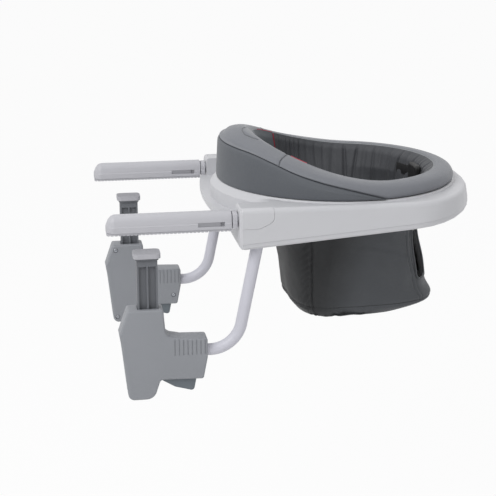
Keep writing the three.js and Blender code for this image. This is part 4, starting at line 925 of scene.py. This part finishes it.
def roll_profile(angle):
    """Control points across the roll at each angle, from the seam over the crest to the lip."""
    foot = seam_at(angle)
    crest = crest_at(angle)
    lip = lip_at(angle)
    tall = crest - foot
    inner = opening_at(angle)
    reach = 6.2 + 15.8 * back_share(angle)
    soft = soft_share(angle)

    def dome(side, back):
        across, up = (a + (b - a) * soft for a, b in zip(side, back))
        return ring_r + (inner + reach - ring_r) * across, foot + up * tall

    return profile(
        angle, (seam_radius(angle) - 2.2, foot + 0.4 + 0.02 * tall),
        (seam_radius(angle) + 0.4, foot + 0.8 + 0.02 * tall),
        dome((0.012, 0.24), (0.3, 0.16)), dome((0.08, 0.54), (0.4, 0.44)),
        dome((0.25, 0.8), (0.56, 0.76)), dome((0.58, 0.955), (0.78, 0.94)), (inner + reach, crest),
        (inner + 0.42 * reach, crest + (lip - crest) * 0.32), (inner + 0.2, lip), (inner + 1.3, lip - 4.5),
        (inner + 2.8, lip - 7.5))


def roll_surface(angle, share):
    """Point of the roll at an angle and a share of its width, by the curve through its profile."""
    angle = np.asarray(angle, float)
    curve = through(roll_profile(angle), 10)
    place = np.clip(share, 0, 1) * (len(curve) - 1)
    low = np.minimum(place.astype(int), len(curve) - 2)
    here, there = (curve[row, :, np.arange(len(angle))] for row in (low, low + 1))
    mixed = here + (there - here) * (place - low)[:, None]
    return round_seat(angle, mixed[:, 0], mixed[:, 1])


def valley(points, line, depth, width):
    """Moves points of a table along their own normals, inwards by depth exp(-(d / width)^2), where d
    is the distance to the nearest point of the line."""
    along = np.gradient(points, axis=0)
    across = np.gradient(points, axis=1)
    normal = np.cross(along, across)
    normal /= np.linalg.norm(normal, axis=2, keepdims=True) + 1e-12
    flat = points.reshape(-1, 3)
    nearest = np.full(len(flat), 1e9)
    for spot in line:
        nearest = np.minimum(nearest, ((flat - spot) ** 2).sum(axis=1))
    sink = depth * np.exp(-nearest / width ** 2)
    return points + normal * sink.reshape(points.shape[:2])[..., None]


ring_angles = np.linspace(-np.pi, np.pi, 600, endpoint=False)
roll_curve = through(roll_profile(ring_angles), 6)
roll = np.stack([round_seat(ring_angles, *row) for row in roll_curve], 1)
dart_angle = np.linspace(-26, 4, 90)
cross_share = np.linspace(0.1, 0.84, 60)
dart_share = 0.525 + 0.004 * np.abs(dart_angle + 16) ** 1.2
roll_seams = {"back_seam": roll_surface(np.radians(dart_angle), dart_share)}
for side, sign in sides:
    cross_angle = np.radians(sign * (50.8 - 8 * cross_share ** 2))
    roll_seams["cross_seam_" + side] = roll_surface(cross_angle, cross_share)
for line in roll_seams.values():
    roll = valley(roll, line, 0.9, 2.4)
frame_in, frame_out = frame_r - 3.3, frame_r + 0.3
frame_top = crest_at(ring_angles) - 11 - 2 * soft_share(ring_angles)
shelf = np.maximum(seam_at(ring_angles), pad_foot)
flange = flange_r + 0.8 - 8 * soft_share(ring_angles)
hidden = [
    (opening_at(ring_angles) + 4, pad_foot), (frame_in, pad_foot), (frame_in, frame_top),
    (frame_out, frame_top), (frame_out, shelf), (flange, shelf), (flange, seam_at(ring_angles))]
under = np.stack([round_seat(ring_angles, radius, z) for radius, z in hidden], 1)
bumper_roll = surface("bumper_roll", np.concatenate([roll, under], axis=1) * mm, rim_cloth,
                      wrap_along=True, wrap_across=True)
crisp(bumper_roll, 60)
belongs(bumper_roll, "seat", "rim", "bumper_rim")
for name, line in roll_seams.items():
    cord(name, line, 0.36, 8, soft_thread if name == "back_seam" else seam_thread, "seat", "band")
print("roll faces:", len(bumper_roll.data.polygons))

# %% [markdown]
# ## The side band
# The band is foam under stretched cloth: it swells between its two edges and tucks in at
# the seam and at the foot. Its tips run out along the sides.

# %% Band and seam cord
band_angles = np.radians(np.linspace(-100.6, 100.6, 420))
top = np.maximum(seam_at(band_angles) - 0.8, bumper_low + 0.5)
tall = top - bumper_low
edge_tuck = np.minimum(5.0, tall * 0.45)
drawn_in = 4.7 * soft_share(band_angles)
band_profile = profile(
    band_angles, (flange_r + 0.8, bumper_low), (ring_r - 4.0, bumper_low),
    (ring_r - 1.2, bumper_low + 0.25 * edge_tuck), (ring_r + 0.2 - 0.4 * drawn_in, bumper_low + 0.3 * tall),
    (ring_r + 1.1 - 0.8 * drawn_in, bumper_low + 0.62 * tall),
    (ring_r + 0.4 - 0.85 * drawn_in, top - 1.3 * edge_tuck),
    (ring_r - 0.6 - 0.95 * drawn_in, top - 0.35 * edge_tuck), (ring_r - 2.4 - drawn_in, top),
    (flange_r + 0.8 - 8 * soft_share(band_angles), top))
band_table = np.stack([round_seat(band_angles, *row) for row in through(band_profile, 6)], 1)
side_band = surface("side_band", band_table * mm, band_cloth, wrap_across=True, caps=True)
crisp(side_band, 60)
belongs(side_band, "seat", "band", "bumper_side_band")
cord_angles = np.radians(np.linspace(-99, 99, 300))
cord_line = round_seat(cord_angles, seam_radius(cord_angles), seam_at(cord_angles) - 0.2)
cord("seam_cord", cord_line, 0.7, 8, seam_thread, "seat", "band")
dressed("seat_ring", "seat", "inner", inner_plastic, 0)
print("band", round(float(tall.max())), "mm tall at the back")

# %% [markdown]
# ## The form of the bag
# The bag is a squarish cloth tub sewn from panels. Each level is a superellipse, whose
# corners are squarer below the rim, and the levels follow the photographed outline. The
# lining needs the same form, because it hangs down inside the bag.

# %% Bag form
bag_top, bag_depth = 21.5, 212.1
bag_front, bag_back, bag_half = 164.0, 146.0, 146.0
bag_levels = np.array([
    (0, 0.957, 1, 1.027), (0.14, 0.876, 0.879, 0.896), (0.25, 0.84, 0.795, 0.825),
    (0.42, 0.865, 0.693, 0.771),
    (0.62, 0.939, 0.626, 0.752), (0.78, 0.975, 0.593, 0.74), (0.9, 1.026, 0.562, 0.753),
    (0.965, 0.742, 0.493, 0.703), (1, 0.613, 0.448, 0.517)])


def bag_shape(depth):
    """Front, back and half widths at a depth share, by straight lines between smooth levels."""
    fine_levels = through(bag_levels, 12)
    order = np.argsort(fine_levels[:, 0])
    return [np.interp(depth, fine_levels[order, 0], fine_levels[order, k]) for k in (1, 2, 3)]


def bag_power(depth):
    """The superellipse's power p: 1 at the rim, and 0.62 from a depth share of 0.14 on."""
    return 1 - 0.38 * np.clip(depth / 0.14, 0, 1)


def bag_point(depth, angle, inset=0.0):
    """Superellipse at a depth share: x = reach |cos|^p and y = half |sin|^p."""
    front, back, half = bag_shape(depth)
    power = bag_power(depth)
    along, across = np.cos(angle), np.sin(angle)
    reach = np.where(along > 0, bag_front * front, bag_back * back) - inset
    x = seat_x + np.sign(along) * reach * np.abs(along) ** power
    y = np.sign(across) * (bag_half * half - inset) * np.abs(across) ** power
    return np.stack([x, y, bag_top - depth * bag_depth + 0 * x], -1)


def bag_radius(angle, z, inset):
    """Distance from the seat's axis to the bag's wall at an angle from the back, by interpolation
    between the points of the level at that height."""
    turn = np.linspace(-np.pi, np.pi, 721)
    level = bag_point(np.full(len(turn), np.clip((bag_top - z) / bag_depth, 0, 1)), turn, inset)
    x, y = level[:, 0] - seat_x, level[:, 1]
    place = np.arctan2(y, -x)
    order = np.argsort(place)
    return np.interp(angle, place[order], np.hypot(x, y)[order], period=2 * np.pi)


print("bag mouth", bag_radius(0.0, bag_top, 0), "to", bag_radius(math.pi, bag_top, 0), "mm")

# %% [markdown]
# ## The lining
# Thin cloth hangs from the roll's lip into the seat and falls in uneven pleats. Each row of
# the table below is one pleat: its angle from the back in degrees, its width and its lean in
# degrees, and its depth in millimetres. The left side has the same pleats a little further
# round. A lighter panel covers the back, and red piping edges it.

# %% Lining and piping
lining_angles = np.linspace(-np.pi, np.pi, 900, endpoint=False)
pleat_rows = np.array([
    (61, 0.8, 0.5, 1.2), (68, 0.7, 1, 2.0), (71.5, 0.7, -0.6, 2.4), (75, 0.6, 1, 1.8), (79, 0.8, -1, 2.6),
    (84, 1.0, 1, 1.6), (90, 1.1, 2, 2.2), (96, 0.9, 0, 1.4), (103, 1.2, -2, 1.8), (110, 1.1, 5, 4.4),
    (119.5, 0.9, -2, 4.0), (125, 1.4, 1, 1.6), (131.5, 1.1, 1.5, 3.8),
    (137, 1.6, -1, 2.0), (144, 1.2, 1, 2.6),
    (153.5, 1.0, -4, 4.4), (160, 1.6, 0, 1.8), (169, 1.0, -5, 4.0), (177, 1.3, 2, 1.6)])
pleat_table = np.radians(np.concatenate([pleat_rows, (pleat_rows + [2, 0, 1, 0]) * [-1, 1, -1, 1]]))


def pleats(angle, share):
    """Sum over the pleats of depth exp(-(angular distance / width)^2), each wider further down and
    beside a lower swelling of the cloth, on soft waves. The back panel has no pleats."""
    total = 0.8 * np.sin(13 * angle + 2 * np.sin(3 * angle)) * share
    for place, width, slant, depth in pleat_table:
        away = np.angle(np.exp(1j * (angle - place - slant * share))) / (width * (0.8 + 1.4 * share))
        depth = math.degrees(depth)
        total = total + depth * np.exp(-away ** 2) - 0.6 * depth * np.exp(-((np.abs(away) - 2.6) / 1.4) ** 2)
    return total * np.clip((np.abs(angle) - 0.95) / 0.12, 0.1, 1)


def mouth_at(angle):
    """Radius of the bag's oval mouth."""
    along = np.where(np.cos(angle) > 0, 146.0, 157.0)
    return 1 / np.hypot(np.cos(angle) / along, np.sin(angle) / 150)


lining_foot = -48.0
waist_z = 42.4
inside_bag = 3.4


def lining_at(angle, share):
    """Radius and height of the lining's outer side at a share of the way down: from under the lip,
    inside the seat ring's flange, past the bag's mouth and on along the bag's wall."""
    top_z = lip_at(angle) - 0.8
    z = top_z + (lining_foot - top_z) * share
    lip = opening_at(angle) - 0.2
    waist = np.minimum(157.3, lip)
    above = np.clip((top_z - z) / (top_z - waist_z), 0, 1)
    upper = lip + (waist - lip) * np.sin(above * np.pi / 2)
    between = np.clip((waist_z - z) / (waist_z - bag_top), 0, 1)
    mouth = waist + (mouth_at(angle) - inside_bag - waist) * between
    in_bag = np.array([bag_radius(a, height, inside_bag) for a, height in zip(angle, z)])
    return np.where(z > waist_z, upper, np.where(z > bag_top, mouth, in_bag)), z


down_shares = np.linspace(0, 1, 48)
falls = [lining_at(lining_angles, share) for share in down_shares]
radii = np.array([radius for radius, z in falls])
for _ in range(60):
    radii[1:-1] = np.minimum(radii[1:-1], (radii[:-2] + 2 * radii[1:-1] + radii[2:]) / 4)
lining_layers = []
for inset in (0.0, 1.8):
    table = []
    for share, radius, (_, z) in zip(down_shares, radii, falls):
        hold = np.clip(share * 14, 0.12, 1) * np.clip((1 - share) * 6, 0.25, 1)
        sunk = np.clip(4.4 - pleats(lining_angles, share), 0, 5.5) * 0.8 * hold
        table.append(round_seat(lining_angles, radius - 0.4 - sunk - inset, z))
    lining_layers.append(np.array(table))
lining_table = np.concatenate([lining_layers[0], lining_layers[1][::-1]])
lining = surface("lining", lining_table * mm, lining_cloth, wrap_along=True, wrap_across=True)
crisp(lining, 70)
lining.data.materials.append(panel_cloth)


def panel_edge(share):
    """Angle of the back panel's edge: it widens from the lip downwards."""
    return np.radians(55 + 6 * np.asarray(share))


panel_foot = 23.6
centres = np.zeros(len(lining.data.polygons) * 3)
lining.data.polygons.foreach_get("center", centres)
x, y, z = centres.reshape(-1, 3).T / mm
face_angle = np.arctan2(y, seat_x - x)
face_share = (lip_at(face_angle) - 0.8 - z) / (lip_at(face_angle) - panel_foot)
is_panel = np.abs(face_angle) < panel_edge(np.clip(face_share, 0, 1))
lining.data.polygons.foreach_set("material_index", is_panel.astype(np.int32))
belongs(lining, "seat", "cloth", "seat_lining")


def cloth_area(points):
    """Area of a table of points in square metres: half the cross product of each quad's diagonals."""
    across = np.cross(points[1:, 1:] - points[:-1, :-1], points[1:, :-1] - points[:-1, 1:])
    return float(np.linalg.norm(across, axis=-1).sum() / 2) * mm * mm


lining_area = cloth_area(wrapped(lining_layers[0], 1))
ring_line = round_seat(ring_angles, opening_at(ring_angles) - 0.1, lip_at(ring_angles) - 0.9)
cord("lip_piping", ring_line, 0.9, 10, pale_piping, "seat", "rim", closed=True)
edge_share = np.linspace(0.03, 0.94, 60)
edge_lip = lip_at(0.97)
edge_down = edge_share * (edge_lip - panel_foot) / (edge_lip - 0.8 - lining_foot)
red_lines = []
for sign in (-1, 1):
    edge_angle = sign * panel_edge(edge_share)
    radius, z = lining_at(edge_angle, edge_down)
    red_lines.append(round_seat(edge_angle, radius - 6.0, z))
for first, last, lift in ((36, 56, 0), (-60, -49, 1.2)):
    lip_swing = np.radians(np.linspace(first, last, 60))
    red_lines.append(round_seat(lip_swing, opening_at(lip_swing) - 0.8, lip_at(lip_swing) - 0.4 + lift))
for count, line in enumerate(red_lines, 1):
    cord("red_piping_%d" % count, line, 0.8, 8, red_trim, "seat", "rim")
print("pleats:", len(pleat_table))

# %% [markdown]
# ## The seat bag
# The bag's levels are the rows of a table of points. Its columns bend so that two of them
# run along the edges of each leg opening, and the faces between those columns are left out.

# %% Bag
hole_top, hole_low, hole_inner = -34.0, -131.0, 44.0
hole_reach, hole_lean = 112.0, 16.0
hole_corner = 12.0


def hole_edges(depth):
    """The two angles where a level crosses a leg opening's inner and rear edges, with the corners
    rounded by drawing the edges together near its top and bottom."""
    front, back, half = bag_shape(depth)
    power = 1 / bag_power(depth)
    tall_hole = hole_top - hole_low
    fall = np.clip((hole_top - bag_top + depth * bag_depth) / tall_hole, 0, 1)
    inner = np.arcsin(np.clip(hole_inner / (bag_half * half), 0, 1) ** power)
    rear = np.arccos(np.clip((hole_reach + hole_lean * fall) / (bag_front * front), 0, 1) ** power)
    near_end = np.clip(np.minimum(fall, 1 - fall) / (hole_corner / tall_hole), 0, 1)
    drawn = 0.16 * (rear - inner) * (1 - np.sqrt(np.clip(1 - (1 - near_end) ** 2, 0, 1)))
    return inner + drawn, rear - drawn


depth_top = (bag_top - hole_top) / bag_depth
depth_low = (bag_top - hole_low) / bag_depth
row_counts = (18, 52, 32)
rows_above = np.linspace(0, depth_top, row_counts[0])
rows_hole = depth_top + (depth_low - depth_top) * (0.5 - 0.5 * np.cos(np.linspace(0, np.pi, row_counts[1])))
rows_below = 1 - (1 - depth_low) * np.linspace(1, 0, row_counts[2]) ** 1.5
bag_rows = np.concatenate([rows_above, rows_hole[1:], rows_below[1:]])
hole_first, hole_last = row_counts[0] - 1, row_counts[0] + row_counts[1] - 2
column_counts = (14, 16, 130)


def bag_columns(depth):
    """Angles of one level's columns: even steps to the opening's inner edge, across it, and on to
    the back, then the same mirrored for the other side."""
    inner, rear = hole_edges(depth)
    first = np.linspace(0, inner, column_counts[0], endpoint=False)
    second = np.linspace(inner, rear, column_counts[1], endpoint=False)
    third = np.linspace(rear, np.pi, column_counts[2], endpoint=False)
    half_turn = np.concatenate([first, second, third])
    return np.concatenate([half_turn, [np.pi], -half_turn[:0:-1]])


cloth_waves = np.random.default_rng(21)
wave_count = 9
wave_ways = cloth_waves.normal(size=(wave_count, 3))
wave_ways /= np.linalg.norm(wave_ways, axis=1, keepdims=True)
wave_lengths = cloth_waves.uniform(34, 110, wave_count)
wave_starts = cloth_waves.uniform(0, 2 * np.pi, wave_count)


def cloth_ripple(points):
    """A sum of plane waves whose phase is bent by one another, as hanging cloth shows."""
    total = np.zeros(points.shape[:-1])
    for way, length, begin in zip(wave_ways, wave_lengths, wave_starts):
        phase = points @ way * (2 * np.pi / length) + begin
        total += np.sin(phase + 0.8 * np.sin(points[..., 2] / 31 + begin))
    return total / wave_count


# Each path: points (share of the bag's depth, degrees from the front) that the seam runs through.
seam_paths = {
    "front": [(0, 53.5), (0.301, 52.2), (0.429, 52.0), (0.526, 52.6), (0.694, 49.8), (0.872, 46.2), (1, 45)],
    "second": [(0, 47), (0.323, 45.8), (0.536, 48), (0.702, 44.8), (0.86, 41.5), (1, 40)],
    "back": [(0, 112), (0.376, 115), (0.571, 118.5), (0.739, 120.2), (0.865, 121.2), (1, 119)],
    "panel": [(0, 84), (0.318, 91.2), (0.501, 95), (0.82, 102), (1, 106)],
}
# Each form: how deep and how wide the seam's valley is, and the rise beside it with its distance.
seam_forms = {"back": (2.0, 2.0, 1.0, 5), "front": (1.2, 1.6, 0.8, 4.5), "second": (1.0, 1.6, 0, 0)}
seam_reach = 118.0
hem_share = 0.887


def seam_angle(name, depth):
    """Angle of a seam from the front at a depth share, by a smooth curve through its points."""
    curve = through(seam_paths[name], 10)
    return np.radians(np.interp(depth, curve[:, 0], curve[:, 1]))


def bell(value, width):
    """The bell curve exp(-(value / width)^2)."""
    return np.exp(-(value / width) ** 2)


def bag_relief(depth, angle):
    """Height of seams, puckers and folds over the bag's plain form: each is a bell curve of the
    distance from its line, and the puckers are a sine wave along the seam."""
    side = np.abs(np.angle(np.exp(1j * angle)))
    drop = depth * bag_depth
    away = {name: (side - seam_angle(name, depth)) * seam_reach for name in seam_paths}
    lower = np.clip((depth - 0.1) / 0.2, 0, 1)
    back = away["back"]
    gather = np.sin((drop - 0.8 * back) * 2 * np.pi / 14 + 2.2 * np.sin(drop / 19) + 0.09 * back)
    total = 1.5 * gather * bell(back - 13, 15) * np.clip(np.abs(back) / 3, 0.15, 1) * lower
    for name, (sink, width, rise, beside) in seam_forms.items():
        total = total - sink * bell(away[name], width) + rise * bell(np.abs(away[name]) - beside, 3)
    total = total + 2.6 * bell(away["panel"], 11) * lower
    from_fold = side - math.radians(70)
    fold = drop - 100 + 21 * from_fold * seam_reach / 62
    total = total + (1.1 * bell(fold, 5) - 0.8 * bell(fold + 9, 6)) * bell(from_fold, 0.34)
    total = total - 1.5 * bell(drop - hem_share * bag_depth, 2.0) + 0.7 * bell(drop - 0.91 * bag_depth, 3)
    tuck = bell(side - math.radians(91), 0.13) * bell(drop - 0.95 * bag_depth, 13)
    total = total + tuck * (3.2 * np.sin(side * seam_reach / 2.6 + drop / 7) - 2.5)
    flutes = np.sin(side * 21 + 1.2 * np.sin(drop / 37)) * bell(side - math.radians(64), 0.3)
    return total + 0.6 * flutes * np.clip((depth - 0.3) / 0.3, 0, 1) * np.clip((0.86 - depth) / 0.1, 0, 1)


def cloth_at(depth, angle):
    """Points of the bag's outer cloth: the plain form, waves of slack and the relief, all measured
    straight out from the seat's axis, and none of them at the rim."""
    plain = bag_point(depth, angle)
    away = plain - np.array([seat_x, 0, 0])
    away[..., 2] = 0
    away /= np.linalg.norm(away, axis=-1, keepdims=True) + 1e-9
    free = np.clip(np.asarray(depth) / 0.2, 0, 1)
    swell = (cloth_ripple(plain) * 2.6 + bag_relief(depth, angle) - 1.2) * free
    return plain + away * swell[..., None]


bag_angles = np.array([bag_columns(depth) for depth in bag_rows])
bag_table = np.array([cloth_at(np.full(len(turn), depth), turn) for depth, turn in zip(bag_rows, bag_angles)])
floor_ring = bag_table[-1]
floor_centre = floor_ring.mean(axis=0)
floor_rows = [floor_centre + (floor_ring - floor_centre) * shrink for shrink in (0.9, 0.7, 0.45, 0.2)]
bag_table = np.concatenate([bag_table, floor_rows])
print("bag table:", bag_table.shape)

# %% Bag cloth
rows, columns = bag_table.shape[:2]
index = wrapped(np.arange(rows * columns).reshape(rows, columns), 1)
full = wrapped(bag_table, 1)
maps = np.stack(np.meshgrid(steps(full, 0), steps(full, 1), indexing="ij")[::-1], -1)
near, far = column_counts[0], column_counts[0] + column_counts[1]
keep = np.ones((rows - 1, columns), bool)
keep[hole_first:hole_last, near:far] = False
keep[hole_first:hole_last, columns - far:columns - near] = False
quads, quad_maps = (cells(table)[keep][:, [0, 3, 2, 1]] for table in (index, maps))
vertices = np.concatenate([bag_table.reshape(-1, 3), floor_centre[None]]) * mm
fan = np.stack([index[-1][:-1], index[-1][1:], np.full(columns, rows * columns)], -1)
bag = build("seat_bag_cloth", vertices, [quads, fan], [quad_maps, vertices[fan][:, :, :2]], bag_cloth)
form = bmesh.new()
form.from_mesh(bag.data)
bmesh.ops.remove_doubles(form, verts=form.verts, dist=0.05 * mm)
middle_face = max(form.faces, key=lambda face: face.calc_center_median().x)
if middle_face.normal.x < 0:
    bmesh.ops.reverse_faces(form, faces=form.faces)
form.to_mesh(bag.data)
form.free()
wall = bag.modifiers.new("cloth", "SOLIDIFY")
wall.thickness = 2.0 * mm
wall.offset = -1
settle(bag)
crisp(bag, 70)
belongs(bag, "seat", "cloth", "seat_bag")

# %% Bindings round the leg openings
stitch_lines = (("front", 0.2, 0.93), ("second", 0.2, 0.9), ("back", 0.16, 0.93))
for side, sign in sides:
    left, right = (near, far) if sign > 0 else (columns - far, columns - near)
    down_edge = bag_table[hole_first:hole_last + 1, left]
    low_edge = bag_table[hole_last, left:right + 1]
    up_edge = bag_table[hole_first:hole_last + 1, right][::-1]
    high_edge = bag_table[hole_first, left:right + 1][::-1]
    loop = np.concatenate([down_edge[:-1], low_edge[:-1], up_edge[:-1], high_edge[:-1]])
    keep = np.linalg.norm(loop - np.roll(loop, 1, axis=0), axis=1) > 0.4
    cord("leg_binding_" + side, loop[keep], 1.8, 10, bag_cloth, "seat", "cloth", closed=True)
    for label, first, last in stitch_lines:
        depth = np.linspace(first, last, 160)
        line = cloth_at(depth, sign * seam_angle(label, depth))
        cord("bag_seam_%s_%s" % (label, side), line, 0.45, 6, bag_thread, "seat", "cloth")
hem_turn = np.linspace(-np.pi, np.pi, 499, endpoint=False)
hem_line = cloth_at(np.full(len(hem_turn), hem_share), hem_turn)
cord("bag_hem", hem_line, 0.5, 6, bag_thread, "seat", "cloth", closed=True)
print("bindings sewn")

# %% [markdown]
# ## Harness and seat board
# Flat webbing keeps its width as it turns, so a strap is a thin rectangle carried along its
# path. The buckle is a rounded block with a push button.

# %% Harness
strap_low = 21.0
strap_section = [
    (-1.6, 0), (-1.8, 0.4), (-1.8, 17.6), (-1.6, 18), (-0.2, 18), (0, 17.6), (0, 0.4), (-0.2, 0)]
for side, sign in sides:
    angle = math.pi - np.linspace(math.asin(21.3 / 150), math.radians(27), 60)
    strap_r = mouth_at(angle) - 7.4 + 0.6 * np.sin(np.linspace(0, 9, 60))
    strap = np.stack([round_seat(sign * angle, strap_r + r, strap_low + z) for r, z in strap_section], 1)
    belt = surface("waist_belt_" + side, strap * mm, webbing, wrap_across=True, caps=True)
    crisp(belt, 60)
    belongs(belt, "seat", "webbing", "waist_strap_" + side)
dressed("crotch_strap", "seat", "webbing", webbing, 0.3)
dressed("harness_buckle", "seat", "buckle", buckle_plastic, 1.0)
dressed("seat_board", "seat", "inner", lining_cloth, 0.8)
for hidden_node in ("seat_keeper_ring", "bumper_frame"):
    dressed(hidden_node, "seat", "inner", inner_plastic, 0)
print("harness done")

# %% [markdown]
# ## The last line
# The view layer is updated once more.

# %% Finish
bpy.context.view_layer.update()
